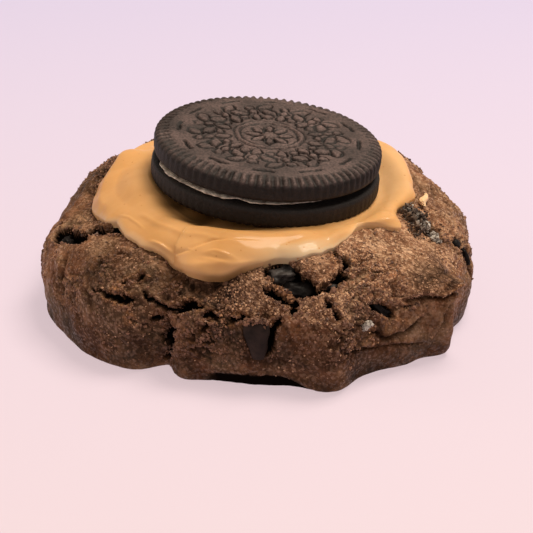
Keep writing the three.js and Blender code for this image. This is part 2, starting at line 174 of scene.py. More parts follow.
def ringFaces(rows, columns):
    # quads between neighbouring rings, from the top ring down, and a fan on a point at each end
    k, i = np.meshgrid(np.arange(rows - 1), np.arange(columns), indexing="ij")
    j = (i + 1) % columns
    corners = [k * columns + i, (k + 1) * columns + i, (k + 1) * columns + j, k * columns + j]
    i = np.arange(columns)
    j, last = (i + 1) % columns, 1 + (rows - 1) * columns
    top = np.stack([0 * i, 1 + i, 1 + j], axis=-1)
    bottom = np.stack([last + i, 0 * i + 1 + rows * columns, last + j], axis=-1)
    return [1 + np.stack(corners, axis=-1).reshape(-1, 4), np.concatenate([top, bottom])]


def closedRings(top, rings, bottom):
    # one list of points for ringFaces: the top point, every ring and the bottom point
    return np.concatenate([np.reshape(top, (1, 3)), rings.reshape(-1, 3),
                           np.reshape(bottom, (1, 3))])


def addMesh(name, points, faces, material, slot, stands=(), flat=False, **attributes):
    # a mesh object from arrays: points in millimetres, lists of faces, and for each attribute a
    # value per point
    mesh = bpy.data.meshes.new(name)
    place = (points + doughAxis) * 0.001
    sizes = np.concatenate([np.full(len(group), group.shape[1]) for group in faces])
    corners = np.concatenate([group.ravel() for group in faces])
    mesh.vertices.add(len(place))
    mesh.vertices.foreach_set("co", place.astype(np.float32).ravel())
    mesh.loops.add(len(corners))
    mesh.loops.foreach_set("vertex_index", corners.astype(np.int32))
    mesh.polygons.add(len(sizes))
    mesh.polygons.foreach_set("loop_start", (np.cumsum(sizes) - sizes).astype(np.int32))
    mesh.polygons.foreach_set("use_smooth", np.full(len(sizes), not flat))
    mesh.update(calc_edges=True)
    for key, values in attributes.items():
        layer = mesh.attributes.new(key, "FLOAT", "POINT")
        layer.data.foreach_set("value", values.astype(np.float32))
    mesh.materials.append(material)
    piece = bpy.data.objects.new(name, mesh)
    bpy.context.scene.collection.objects.link(piece)
    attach(piece, "root")
    if stands:
        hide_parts(*stands)
    print("made", name, len(sizes), "faces")


def colour(code):
    # an sRGB hex value as linear red, green, blue and alpha
    share = np.array([int(code[k:k + 2], 16) for k in (1, 3, 5)]) / 255
    linear = np.where(share <= 0.04045, share / 12.92, ((share + 0.055) / 1.055) ** 2.4)
    return (*linear.tolist(), 1.0)


def addNode(tree, kind, inputs=None, ramp=None, **settings):
    # one node: its settings, then each input linked to a socket or set to a value, and a ramp's
    # stops (a Mix of colours has its share at 0 and the two colours at 6 and 7)
    node = tree.nodes.new("ShaderNode" + kind)
    for key, value in settings.items():
        setattr(node, key, value)
    for key, value in (inputs or {}).items():
        if isinstance(value, bpy.types.NodeSocket):
            tree.links.new(value, node.inputs[key])
        else:
            node.inputs[key].default_value = value
    for k, (place, value) in enumerate(ramp or []):
        stop = node.color_ramp.elements[k] if k < 2 else node.color_ramp.elements.new(place)
        stop.position = place
        stop.color = colour(value) if isinstance(value, str) else (value, value, value, 1)
    return node


def newMaterial(name):
    # an empty node tree, and each point's place on the piece in metres, so a pattern's scale is
    # how many of its spots lie along a metre: 1000 gives spots about a millimetre across
    material = bpy.data.materials.new(name)
    material.use_nodes = True
    tree = material.node_tree
    tree.nodes.clear()
    place = addNode(tree, "TexCoord").outputs["Object"]
    return material, tree, place


def finishMaterial(tree, **inputs):
    # the shader with its inputs, whose names have _ for a space, and the output
    inputs = {key.replace("_", " "): value for key, value in inputs.items()}
    shader = addNode(tree, "BsdfPrincipled", inputs)
    addNode(tree, "OutputMaterial", {"Surface": shader.outputs["BSDF"]})


bakedLook = {
    # each tint where the crust is dark and where it is pale
    "tints": {
        # tops and gaps colour the grains: paler sugar with painted light on the tops, dark dough
        # with painted shade in the gaps
        "tops": ("#956a4e", "#ebbe98"), "gaps": ("#241710", "#93674b"),
        "warm": ("#694224", "#af7551"), "grey": ("#4f3b26", "#967352"),
    },
    "freshCrumb": ("#4a2a14", "#b27c50"), "shadow": "#0d0806",
    # spots per metre and how much detail: grit 0.5 mm across, specks 0.7, blotches 5 and hues 9
    "noises": {
        "fine": (1900.0, 4.0), "speck": (1500.0, 1.0), "blotch": (210.0, 3.0), "hue": (110.0, 3.0),
    },
    "grainScale": 1600.0, "stir": 0.0011,  # grains 0.6 mm across, and how far they are stirred
}


def crumbMaterial():
    # baked cocoa dough: sandy grains 0.6 to 0.9 mm across, paler sugar with painted light on their
    # tan tops above dark gaps with painted shade, over speckled brown dough; painted near-black
    # shade in the cracks, crevices and pockets, and orange brown on the cracks' lips
    material, tree, place = newMaterial("baked_cocoa_dough")
    share, noise, tint = {}, {}, {}
    for name in ("pale", "grainy", "lip", "pit", "tops"):
        share[name] = addNode(tree, "Attribute", attribute_name=name).outputs["Fac"]
    for name, (scale, detail) in bakedLook["noises"].items():
        noise[name] = addNode(tree, "TexNoise", {"Vector": place, "Scale": scale, "Detail": detail,
                                                 "Roughness": 0.6}).outputs["Fac"]
    for name, (low, high) in bakedLook["tints"].items():
        tint[name] = addNode(tree, "Mix", {0: share["pale"], 6: colour(low), 7: colour(high)},
                             data_type="RGBA").outputs[2]

    # how high each grain stands, and from that the painted light on its top and the painted shade
    # in the gaps round it
    stir = addNode(tree, "TexNoise", {"Vector": place, "Scale": 700.0,
                                      "Detail": 2.0}).outputs["Color"]
    bent = addNode(tree, "VectorMath", {0: stir, 1: (bakedLook["stir"],) * 3, 2: place},
                   operation="MULTIPLY_ADD").outputs[0]
    cell = addNode(tree, "TexVoronoi", {"Vector": bent, "Scale": bakedLook["grainScale"],
                                        "Randomness": 1.0}).outputs["Distance"]
    small = addNode(tree, "ValToRGB", {"Fac": cell},
                    ramp=[(0.2, 1.0), (0.62, 0.0)]).outputs["Color"]
    high = 0.0
    for grain, weight in [(share["tops"], 0.75), (small, 0.4), (noise["fine"], 0.55)]:
        high = addNode(tree, "Math", {0: grain, 1: weight, 2: high},
                       operation="MULTIPLY_ADD").outputs[0]
    paintedTopLight = addNode(tree, "ValToRGB", {"Fac": high}, ramp=[(0.52, 0.0), (0.92, 1.0)]).outputs["Color"]
    grains = addNode(tree, "Mix", {0: paintedTopLight, 6: tint["gaps"], 7: tint["tops"]},
                     data_type="RGBA").outputs[2]
    darker, lighter = bakedLook["freshCrumb"]
    orange = addNode(tree, "ValToRGB", {"Fac": noise["fine"]},
                     ramp=[(0.36, darker), (0.64, lighter)]).outputs["Color"]

    # laid over the warm dough in turn: how much, a ramp that shapes it, what, and by which mode
    layers = [
        (noise["hue"], [(0.4, 0.0), (0.6, 1.0)], tint["grey"], "MIX"),
        (noise["fine"], [(0.3, 0.62), (0.7, 0.0)], colour("#3a2317"), "MULTIPLY"),
        (noise["speck"], [(0.64, 0.0), (0.74, 0.6)], tint["tops"], "MIX"),
        (noise["speck"], [(0.24, 0.5), (0.34, 0.0)], tint["gaps"], "MIX"),
        (share["grainy"], [(0.0, 0.0), (1.0, 1.0)], grains, "MIX"),
        (noise["blotch"], [(0.32, 0.6), (0.56, 0.0)], colour("#84694f"), "MULTIPLY"),
        (noise["blotch"], [(0.55, 0.0), (0.7, 0.35)], tint["tops"], "MIX"),
        (share["lip"], [(0.0, 0.0), (1.0, 1.0)], orange, "MIX"),
        # painted shade: near black where the pit share marks cracks, seams, crevices, fold grooves,
        # pockets, the undercut and the shadow under the drip
        (share["pit"], [(0.0, 0.0), (1.0, 1.0)], colour(bakedLook["shadow"]), "MIX"),
    ]
    base = tint["warm"]
    for amount, stops, over, mode in layers:
        amount = addNode(tree, "ValToRGB", {"Fac": amount}, ramp=stops).outputs["Color"]
        base = addNode(tree, "Mix", {0: amount, 6: base, 7: over}, data_type="RGBA",
                       blend_type=mode).outputs[2]
    rise = addNode(tree, "Math", {0: small, 1: share["grainy"], 2: noise["fine"]},
                   operation="MULTIPLY_ADD").outputs[0]
    bump = addNode(tree, "Bump", {"Height": rise, "Strength": 0.8, "Distance": 0.0005})
    rough = addNode(tree, "MapRange", {"Value": paintedTopLight, "To Min": 0.7, "To Max": 0.38}).outputs[0]
    shine = addNode(tree, "MapRange", {"Value": paintedTopLight, "To Min": 0.2, "To Max": 0.42}).outputs[0]
    # and no specular sheen where the shade is painted, so it stays black
    shine = addNode(tree, "MapRange", {"Value": share["pit"], "To Min": shine,
                                       "To Max": 0.0}).outputs[0]
    finishMaterial(tree, Base_Color=base, Roughness=rough, Normal=bump.outputs["Normal"],
                   Specular_IOR_Level=shine, IOR=1.45)
    return material


def butterMaterial(name, low, high):
    # ground roasted nuts, stirred and poured: smooth, oily and slightly see-through, so small sharp
    # highlights lie on a warm tan that is paler where the film is thin, with painted shade by the
    # biscuit's foot and under the drip's rim; clouds 11 mm across, dots of nut skin 2.4 mm apart
    # and ripples 3 mm wide
    material, tree, place = newMaterial(name)
    cloud = addNode(tree, "TexNoise", {"Vector": place, "Scale": 90.0, "Detail": 3.0,
                                       "Roughness": 0.5}).outputs["Fac"]
    thin = addNode(tree, "Attribute", attribute_name="thin").outputs["Fac"]
    paintedShadeShare = addNode(tree, "Attribute", attribute_name="olive").outputs["Fac"]
    speck = addNode(tree, "TexVoronoi", {"Vector": place, "Scale": 420.0}).outputs["Distance"]
    dots = addNode(tree, "ValToRGB", {"Fac": speck},
                   ramp=[(0.05, 1.0), (0.09, 0.0)]).outputs["Color"]
    base = addNode(tree, "ValToRGB", {"Fac": cloud},
                   ramp=[(0.3, low), (0.7, high)]).outputs["Color"]
    # 4a3318 is painted shade, laid where the butter lies in the biscuit's shadow and on the drip's
    # lower rim
    for amount, over in [(thin, "#cdb391"), (paintedShadeShare, "#4a3318"), (dots, "#b8844e")]:
        base = addNode(tree, "Mix", {0: amount, 6: base, 7: colour(over)},
                       data_type="RGBA").outputs[2]
    ripple = addNode(tree, "TexNoise", {"Vector": place, "Scale": 330.0,
                                        "Detail": 2.0}).outputs["Fac"]
    bump = addNode(tree, "Bump", {"Height": ripple, "Strength": 0.22, "Distance": 0.0004})
    finishMaterial(tree, Base_Color=base, Roughness=0.42, Normal=bump.outputs["Normal"], IOR=1.47,
                   Specular_IOR_Level=0.06, Coat_Weight=0.2, Coat_Roughness=0.06,
                   Subsurface_Weight=0.12, Subsurface_Radius=(0.9, 0.45, 0.2),
                   Subsurface_Scale=0.0016)
    return material


def waferMaterial():
    # a stamped and baked cocoa wafer: hard, fine and matt, greyish on the raised face with painted
    # sheen and a little rubbing, and nearly black, its own colour with painted shade, in its
    # hollows and on its wall; its grit is finer than shows, so it is drawn 0.4 mm across, under
    # clouds of 6 mm
    material, tree, place = newMaterial("stamped_cocoa_wafer")
    fine = addNode(tree, "TexNoise", {"Vector": place, "Scale": 2300.0, "Detail": 4.0,
                                      "Roughness": 0.6}).outputs["Fac"]
    cloud = addNode(tree, "TexNoise", {"Vector": place, "Scale": 170.0,
                                       "Detail": 2.0}).outputs["Fac"]
    worn = addNode(tree, "Attribute", attribute_name="worn").outputs["Fac"]
    dark = addNode(tree, "ValToRGB", {"Fac": fine},
                   ramp=[(0.35, "#0d0908"), (0.65, "#1d1614")]).outputs["Color"]
    sheenAndRubbed = addNode(tree, "ValToRGB", {"Fac": fine},
                     ramp=[(0.35, "#3b2e2c"), (0.68, "#705c58")]).outputs["Color"]
    shade = addNode(tree, "ValToRGB", {"Fac": cloud},
                    ramp=[(0.3, 0.8), (0.7, 1.12)]).outputs["Color"]
    base = addNode(tree, "Mix", {0: worn, 6: dark, 7: sheenAndRubbed}, data_type="RGBA").outputs[2]
    base = addNode(tree, "Mix", {0: 1.0, 6: base, 7: shade}, data_type="RGBA",
                   blend_type="MULTIPLY").outputs[2]
    bump = addNode(tree, "Bump", {"Height": fine, "Strength": 0.8, "Distance": 0.00025})
    finishMaterial(tree, Base_Color=base, Roughness=0.62, Normal=bump.outputs["Normal"], IOR=1.45,
                   Specular_IOR_Level=0.35)
    return material


def cremeMaterial():
    # whipped sugar and fat: off-white, matt and short, a little grey where crumbs are smeared in
    # it, in lumps about a millimetre across
    material, tree, place = newMaterial("sugar_creme")
    fine = addNode(tree, "TexNoise", {"Vector": place, "Scale": 900.0,
                                      "Detail": 3.0}).outputs["Fac"]
    base = addNode(tree, "ValToRGB", {"Fac": fine},
                   ramp=[(0.34, "#7d7068"), (0.6, "#cfc4b8")]).outputs["Color"]
    bump = addNode(tree, "Bump", {"Height": fine, "Strength": 0.5, "Distance": 0.0003})
    finishMaterial(tree, Base_Color=base, Roughness=0.55, Normal=bump.outputs["Normal"], IOR=1.45,
                   Subsurface_Weight=0.1, Subsurface_Radius=(0.6, 0.5, 0.4), Subsurface_Scale=0.001)
    return material


def chocolateMaterial(name, low, high, roughness):
    # dark chocolate that melted and set again in the oven: nearly black, waxy, dulled by bloom in
    # patches 2.4 mm across
    material, tree, place = newMaterial(name)
    cloud = addNode(tree, "TexNoise", {"Vector": place, "Scale": 420.0,
                                       "Detail": 4.0}).outputs["Fac"]
    base = addNode(tree, "ValToRGB", {"Fac": cloud},
                   ramp=[(0.35, low), (0.68, high)]).outputs["Color"]
    bump = addNode(tree, "Bump", {"Height": cloud, "Strength": 0.6, "Distance": 0.0006})
    finishMaterial(tree, Base_Color=base, Roughness=roughness, Normal=bump.outputs["Normal"],
                   IOR=1.46, Specular_IOR_Level=0.16)
    return material


def looseCrumbMaterial(name, low, high, roughness=0.6):
    # loose dry crumbs of one kind: rough and matt, each with its own shade between two colours and
    # grit 0.4 mm across
    material, tree, place = newMaterial(name)
    shade = addNode(tree, "Attribute", attribute_name="shade").outputs["Fac"]
    fine = addNode(tree, "TexNoise", {"Vector": place, "Scale": 2500.0,
                                      "Detail": 2.0}).outputs["Fac"]
    both = addNode(tree, "Math", {0: shade, 1: fine}, operation="ADD").outputs[0]
    half = addNode(tree, "Math", {0: both, 1: 0.5}, operation="MULTIPLY").outputs[0]
    base = addNode(tree, "ValToRGB", {"Fac": half},
                   ramp=[(0.25, low), (0.8, high)]).outputs["Color"]
    bump = addNode(tree, "Bump", {"Height": fine, "Strength": 0.5, "Distance": 0.0002})
    finishMaterial(tree, Base_Color=base, Roughness=roughness, Normal=bump.outputs["Normal"],
                   IOR=1.5)
    return material


bakedDough = crumbMaterial()
nutButter = butterMaterial("poured_nut_butter", "#ca965c", "#daa76f")
splashedButter = butterMaterial("splashed_nut_butter", "#d9b284", "#e8c79e")
cocoaWafer = waferMaterial()
sugarCreme = cremeMaterial()
mattChocolate = chocolateMaterial("bloomed_dark_chocolate", "#1e1613", "#352823", 0.7)
glossyChocolate = chocolateMaterial("melted_dark_chocolate", "#0a0606", "#16100e", 0.5)
chocolateFilm = chocolateMaterial("bloomed_chocolate_film", "#0f0c0b", "#423d3b", 0.5)
sugarGrain = looseCrumbMaterial("sugar_grain_tan", "#5f3f2c", "#d0a27e", 0.5)
doughGrain = looseCrumbMaterial("dough_grain_brown", "#4a3022", "#8a6047", 0.65)
freshCrumb = looseCrumbMaterial("fresh_crumb", "#50301d", "#a4744f")
crushedWafer = looseCrumbMaterial("crushed_wafer", "#1b1412", "#65503f")
crushedCreme = looseCrumbMaterial("crushed_creme", "#6e655e", "#cfc6ba", 0.55)
print("materials ready")


# the dough's form in millimetres, with its lobes round the side
dough = {
    "radius": 42.2, "height": 26.0, "belly": 8.2, "footInset": 1.9, "power": 2.6,
    "lumpDepth": 0.9, "shoulderAt": 0.74, "shoulderWide": 0.17,
    "seatDepth": 1.2, "seatRadius": 19.3, "seatRise": 0.05, "seatSoftness": 0.5,
    "archAt": -86.0, "archWide": 10.0, "archLift": 0.15,
    # angle, width, then how far the lobe pushes out the foot and the belly and lifts the shoulder
    "lobes": [
        (-172, 16, 2.4, 1.4, -2.9), (-140, 12, 1.5, 0.8, 0), (-118, 4.5, -5.2, -4.3, 0),
        (-102, 12, -1.9, -1.6, 0), (-71.2, 7, 3.7, 4.0, 0), (-46, 6, 1.4, 1.6, 0),
        (-36, 5, 3.6, 4.5, 0), (-12, 12, 1.6, 1.7, -0.3), (14, 14, 1.7, 1.7, 1.7),
        (38, 16, 3.0, 3.0, 3.4), (118, 16, 0.3, 0.3, 5.0), (140, 13, 3.4, 5.5, -0.2),
        (158, 10, 0.3, 0.2, 3.9),
    ],
}
biscuit = {
    "x": 1.45, "y": 0.2, "base": 24.95, "slopeX": -0.095, "slopeY": 0.04,
    "radius": 22.5, "lowerRadius": 22.7, "thickness": 4.6, "creme": 0.7, "gap": 0.2, "ridges": 84,
}


def angleBump(angle, centre, wide):
    # a bell round an angle in degrees, whichever way round is shorter
    return bell((angle - centre + 180) % 360 - 180, wide)


def lobesAt(angle):
    # the foot's and belly's radius and the shoulder's extra height, as sums of bells
    plain = (dough["radius"] - dough["footInset"], dough["radius"], 0.0)
    foot, belly, shoulder = (np.full(np.shape(angle), value) for value in plain)
    for at, wide, outFoot, outBelly, lift in dough["lobes"]:
        share = angleBump(angle, at, wide)
        foot = foot + outFoot * share
        belly = belly + outBelly * share
        shoulder = shoulder + lift * share
    return foot, belly, shoulder


def biscuitPlane(x, y):
    # the height of the biscuit's tilted underside: its base and a slope along each axis
    dx, dy = x - biscuit["x"], y - biscuit["y"]
    return biscuit["base"] + biscuit["slopeX"] * dx + biscuit["slopeY"] * dy


def domeHeight(x, y):
    # over each angle a superellipse with a raised shoulder, pressed down softly under the biscuit
    _, belly, shoulder = lobesAt(np.degrees(np.arctan2(y, x)))
    share = np.minimum(np.hypot(x, y) / belly, 1)
    fall = (1 - share ** dough["power"]) ** (1 / dough["power"])
    ridge = shoulder * bell(share - dough["shoulderAt"], dough["shoulderWide"]) * fall ** 0.4
    dome = dough["belly"] + (dough["height"] - dough["belly"]) * fall + ridge
    beyond = np.maximum(np.hypot(x - biscuit["x"], y - biscuit["y"]) - dough["seatRadius"], 0)
    seat = biscuitPlane(x, y) - dough["seatDepth"] + dough["seatRise"] * beyond ** 2
    return dome - dough["seatSoftness"] * np.logaddexp(0, (dome - seat) / dough["seatSoftness"])


def skin(angle, level):
    # a point of the smooth skin: level 0 is the top's middle, 1 the belly and 2 the foot. It is
    # on the dome above the belly, and on a quarter of an ellipse below it
    foot, belly, _ = lobesAt(angle)
    turn = np.radians(angle)
    down = np.sin(np.clip(level - 1, 0, 1) * np.pi / 2)
    tuck = np.clip((level - 1.8) / 0.2, 0, 1) ** 2  # the last of the foot turns in by a millimetre
    upper = belly * np.sin(np.minimum(level, 1) * np.pi / 2) ** (2 / dough["power"])
    lower = foot + (belly - foot) * np.sqrt(1 - down ** 2) - tuck
    r = np.where(level <= 1, upper, lower)
    x, y = r * np.cos(turn), r * np.sin(turn)
    lift = dough["archLift"] * angleBump(angle, dough["archAt"], dough["archWide"]) * down ** 4
    z = np.where(level <= 1, domeHeight(x, y), dough["belly"] * (1 - down) + lift)
    return np.stack([x, y, z], axis=-1)


def unit(v):
    # each vector divided by its own length
    return v / np.maximum(np.linalg.norm(v, axis=-1, keepdims=True), 1e-9)


def outward(angle, level):
    # square to the skin: the way down it crossed with the way round it
    east = skin(angle + 0.5, level) - skin(angle - 0.5, level)
    down = skin(angle, np.minimum(level + 0.01, 2)) - skin(angle, np.maximum(level - 0.01, 0.02))
    return unit(np.cross(down, east))


def levelAt(x, y):
    # the level of the skin over a point of the plan, from its share of the belly's radius
    belly = lobesAt(np.degrees(np.arctan2(y, x)))[1]
    share = np.clip(np.hypot(x, y) / belly, 0, 1)
    return np.arcsin(share ** (dough["power"] / 2)) * 2 / np.pi


def broadRelief(points, level):
    # the lumps of the dough, in millimetres out of the smooth skin: the same sunken waves as its
    # solid, and slow noise
    x, y, z = points[..., 0], points[..., 1], points[..., 2]
    across = np.sin(0.42 * x + 1.3 * np.sin(0.31 * z + 0.2 * y))
    along = np.sin(0.47 * y + 0.9 * np.sin(0.36 * x))
    crossed = 0.2 * np.sin(0.9 * z + 0.7 * x) * np.sin(0.8 * y + 0.5 * z)
    waves = 0.5 + 0.15 * (across + along) + crossed
    mask = smooth(0.35, 0.6, level) * (1 - smooth(1.6, 2, level))
    return mask * (-dough["lumpDepth"] * waves + 0.35 * layeredNoise(points, 7.0, 5, 2))


# the nut butter's outline, which the crust needs too
pool = {
    # pairs of an angle about the biscuit and a radius
    "edge": [
        (-176.6, 34.3), (-167, 33.1), (-158, 32.8), (-151, 32.3), (-146, 33.1), (-141.4, 33.8),
        (-136.5, 33.4), (-132, 33.9), (-126.5, 33.8), (-122, 33.3), (-118, 34), (-113.5, 35.7),
        (-108.5, 36.2), (-104.5, 35.7), (-98.5, 34.7), (-91.5, 33.0), (-86, 32.0), (-81, 32.5),
        (-76, 32.7), (-71.5, 32.3), (-66.7, 31.1), (-60, 29.4), (-54.5, 28.1), (-50, 27.2),
        (-46, 27.3), (-42.4, 29.0), (-39, 31.3), (-36, 32.1), (-33, 30.9), (-30, 29.5),
        (-26.5, 28.4), (-21.5, 28.0), (-17, 28.6), (-12.5, 29.2), (-6, 29.9), (1, 29.7),
        (9.6, 29.9), (19.5, 30.7), (31.5, 31.7), (44.4, 30.7), (64.4, 28.4), (94.5, 26.3),
        (119.8, 28.7), (138, 32.6), (150.1, 32.7), (163.2, 31.7), (172.3, 33.8),
    ],
    # pairs of an angle and a thickness
    "thickness": [
        (-170, 2.2), (-142, 1.9), (-128, 2.2), (-117, 2.7), (-107, 3.1), (-97, 2.8), (-85, 1.9),
        (-70, 1.3), (-48, 0.9), (-36, 1.5), (0, 1.9), (35, 1.3), (90, 1.6), (140, 1.5),
    ],
    "columns": 540, "rows": 84,
    # how far it climbs the biscuit, how far out that reaches, and its gap to the dough below
    "meniscus": 0.6, "reach": 5.5, "clearance": 0.3,
    # where it starts to show, how far its lip curls in, and how deep its hidden underside lies
    "recess": 23.0, "curl": 0.35, "bedded": 0.75,
    # painted shade: how much, angle, width, and the radii between which that fades outwards, beyond
    # the edge where it doesn't
    "olive": [
        (0.3, -118, 36, 26.5, 32.0), (0.12, -125, 26, 31.0, 33.5), (0.14, -56, 20, 90, 99),
        (0.55, -126, 24, 22.8, 27.6), (0.1, -84, 18, 90, 99), (0.06, 180, 50, 90, 99),
    ],
}


def insideButter(points):
    # how far a point lies inside the butter's edge in plan: the edge's radius less the point's
    x, y = points[..., 0] - biscuit["x"], points[..., 1] - biscuit["y"]
    return closedCurve(pool["edge"], np.degrees(np.arctan2(y, x))) - np.hypot(x, y)


crust = {
    "columns": 720, "rows": 122, "frontShare": 20.0,  # how far columns are drawn to the front
    "hiddenRings": (0.1, 0.2, 0.28, 0.33), "shownFrom": 0.37,  # levels
    # sizes across of a sugar grain and of a plate of skin
    "grainSize": 0.85, "plateSize": 6.0,
    # how far each kind of relief stands out or sinks, and how ragged the cracks' edges are
    "grain": 0.34, "plate": 0.35, "seam": 0.45, "coarse": 0.48, "pit": 0.35, "crevice": 0.6,
    "groove": 0.9, "lip": 0.22, "undercut": 0.2, "ragged": 0.5,
    "cleanCracks": 2,  # the first cracks in the list have cleaner edges
    # where the crust is drawn lighter or darker, mostly painted light and shade: the shadow under
    # the drip, the lit left and right sides and the right shoulder, with some of the dough's own
    # darker and lighter baking; angle, width, level, height, how much, and how deep a dent lies
    # there
    "stainsAndPaintedLight": [
        (-107, 11, 0.69, 0.07, -0.75, 1.2), (-98, 6, 0.95, 0.11, -0.35, 0.4),
        (-95, 6, 0.86, 0.06, -0.2, 0), (-104, 5, 1.1, 0.12, -0.2, 0.2),
        (-101, 8, 1.1, 0.2, -0.2, 0), (-76, 8, 1.1, 0.16, -0.3, 0),
        (-72, 7, 0.93, 0.08, -0.2, 0), (-59, 8, 1.02, 0.16, -0.25, 0),
        (-38, 11, 0.73, 0.12, -0.75, 0), (-41, 9, 1.12, 0.17, 0.6, 0),
        (-22, 8, 0.86, 0.15, 0.3, 0), (-18, 14, 1.2, 0.25, 0.5, 0),
        (-148, 10, 0.85, 0.1, 0.25, 0), (-130, 9, 1.25, 0.22, -0.2, 0),
        (-166, 14, 0.95, 0.45, 0.6, 0), (-152, 10, 0.55, 0.05, 0.3, 0),
        (-140, 8, 0.73, 0.07, -0.3, 0), (-128, 8, 0.77, 0.06, 0.3, 0),
        (-79, 6, 0.83, 0.09, 0.5, 0), (-53, 12, 0.6, 0.09, 0.6, 0),
        (-86, 22, 1.35, 0.18, 0.3, 0), (-78, 24, 0.7, 0.1, 0.2, 0),
        (-95, 60, 1.12, 0.2, -0.14, 0), (-56, 11, 0.68, 0.08, 0.6, 0),
        (-18, 9, 0.78, 0.1, 0.3, 0), (-88, 14, 1.3, 0.12, 0.25, 0),
        (-103, 7, 0.79, 0.06, -0.12, 0),
    ],
}

# cracks: how wide and deep, how much fresh crumb their lips show, and a path over the skin as
# pairs of an angle and a level
cracks = [
    (4.6, 4.2, 0.3, [(-174.5, 0.725), (-170, 0.68), (-164.5, 0.65), (-160, 0.6), (-158.4, 0.55)]),
    (3.2, 3.4, 0.3, [(-161, 0.6), (-158.6, 0.54), (-155, 0.497), (-149.4, 0.465), (-142, 0.44)]),
    (1.1, 1.2, 0.6, [(-131, 0.735), (-128.2, 0.71), (-126.2, 0.69), (-125.3, 0.667), (-124, 0.65)]),
    (0.8, 1.0, 0.5, [(-140, 0.835), (-136, 0.82), (-132.9, 0.813)]),
    (1.4, 1.6, 0.7, [(-135, 0.82), (-132.7, 0.823), (-130.6, 0.83), (-128.7, 0.837), (-126.4, 0.83),
                     (-124, 0.845)]),
    (1.4, 1.6, 0.4, [(-128.6, 0.795), (-126.5, 0.81), (-124.4, 0.83)]),
    (1.3, 1.9, 0.5, [(-123.2, 0.772), (-121.4, 0.808), (-120.5, 0.83), (-119, 0.867),
                     (-115.9, 0.88)]),
    (1.9, 2.7, 0.5, [(-117.2, 0.89), (-113, 0.85), (-111.7, 0.83), (-109.9, 0.806), (-108, 0.786),
                     (-104.4, 0.786)]),
    (2.4, 3.0, 0.3, [(-117.6, 0.85), (-115.6, 0.903), (-115, 0.96)]),
    (1.4, 1.8, 0.5, [(-120, 0.952), (-117.3, 0.949), (-114.4, 0.93)]),
    (4.3, 4.0, 0.4, [(-114.6, 0.9), (-114.9, 0.95), (-115.2, 1.02), (-115.6, 1.12), (-116, 1.28)]),
    (1.8, 2.2, 0.3, [(-115.6, 1.16), (-116.2, 1.35), (-116.8, 1.7)]),
    (0.9, 1.2, 0.8, [(-126.4, 0.912), (-124.3, 0.944), (-122.8, 0.964)]),
    (0.8, 1.0, 0.3, [(-122.2, 0.974), (-119.8, 0.985)]),
    (0.9, 1.0, 0.3, [(-118, 0.7), (-116, 0.7), (-112.6, 0.69)]),
    (1.4, 1.6, 0.5, [(-105, 0.838), (-101.9, 0.842), (-100.2, 0.858)]),
    (1.3, 1.5, 0.8, [(-97.6, 0.864), (-94.6, 0.85), (-92.4, 0.833)]),
    (2.6, 3.4, 0.1, [(-88, 0.575), (-85.5, 0.533), (-83.6, 0.51), (-81, 0.506), (-79, 0.51),
                     (-76.6, 0.535)]),
    (4.6, 5.2, 0.0, [(-84, 0.565), (-80.9, 0.598), (-78.8, 0.61), (-76.8, 0.604), (-74.2, 0.628)]),
    (2.1, 3.6, 0.2, [(-82.4, 0.675), (-79.8, 0.688), (-77.8, 0.67), (-75.6, 0.653),
                     (-72.4, 0.634)]),
    (2.1, 3.2, 0.5, [(-88.2, 0.642), (-85.3, 0.672), (-82.8, 0.7), (-79.8, 0.716)]),
    (2.3, 3.6, 0.3, [(-74.4, 0.637), (-71.6, 0.619), (-69.6, 0.602), (-66.2, 0.6), (-63.3, 0.587),
                     (-61, 0.577)]),
    (1.9, 2.8, 0.6, [(-62.4, 0.6), (-61.6, 0.558), (-61.6, 0.524)]),
    (1.4, 1.8, 0.7, [(-61.6, 0.505), (-60.2, 0.536), (-59, 0.565)]),
    (1.1, 1.6, 0.8, [(-61.3, 0.435), (-62.6, 0.48), (-64, 0.53)]),
    (1.7, 2.2, 0.9, [(-80.5, 0.71), (-81.2, 0.777), (-81.2, 0.83)]),
    (1.7, 2.6, 0.6, [(-73, 0.69), (-71.6, 0.712), (-70.8, 0.74), (-70.4, 0.77), (-69.4, 0.83)]),
    (1.6, 2.2, 0.4, [(-84, 0.82), (-85.2, 0.88), (-86.4, 0.95), (-87.6, 1.02), (-88.6, 1.14)]),
    (2.0, 2.3, 0.3, [(-59.6, 0.83), (-56.6, 0.862), (-54.4, 0.893), (-51.6, 0.935)]),
    (1.0, 1.2, 0.5, [(-49.8, 0.87), (-48, 0.898), (-45.4, 0.892)]),
    (1.1, 2.0, 0.2, [(-20.9, 0.55), (-21.2, 0.611), (-20.9, 0.648), (-20, 0.682), (-18.2, 0.725)]),
    (1.3, 1.7, 0.2, [(-15.6, 0.76), (-14.6, 0.84), (-13.9, 0.93), (-13.2, 1.03)]),
    (2.0, 2.2, 0.6, [(24, 0.62), (30, 0.68), (35, 0.76), (34, 0.86), (38, 0.95)]),
    (2.4, 2.6, 0.5, [(58, 0.56), (66, 0.62), (74, 0.66), (82, 0.74), (84, 0.96), (87, 1.2)]),
    (1.8, 2.0, 0.7, [(75, 0.66), (84, 0.62), (92, 0.6), (100, 0.63), (106, 0.7)]),
    (2.2, 2.4, 0.5, [(112, 0.7), (119, 0.78), (121, 0.88), (117, 0.98), (119, 1.25)]),
    (1.9, 2.0, 0.6, [(150, 0.72), (156, 0.8), (155, 0.9), (161, 0.98), (168, 1.02)]),
    (1.1, 1.2, 0.6, [(8, 0.8), (13, 0.86), (12, 0.95), (17, 1.05), (16, 1.3)]),
    (1.3, 1.4, 0.6, [(48, 0.8), (55, 0.86), (60, 0.98), (58, 1.2), (61, 1.5)]),
    (1.2, 1.3, 0.5, [(133, 0.62), (139, 0.7), (137, 0.82), (142, 0.9)]),
]

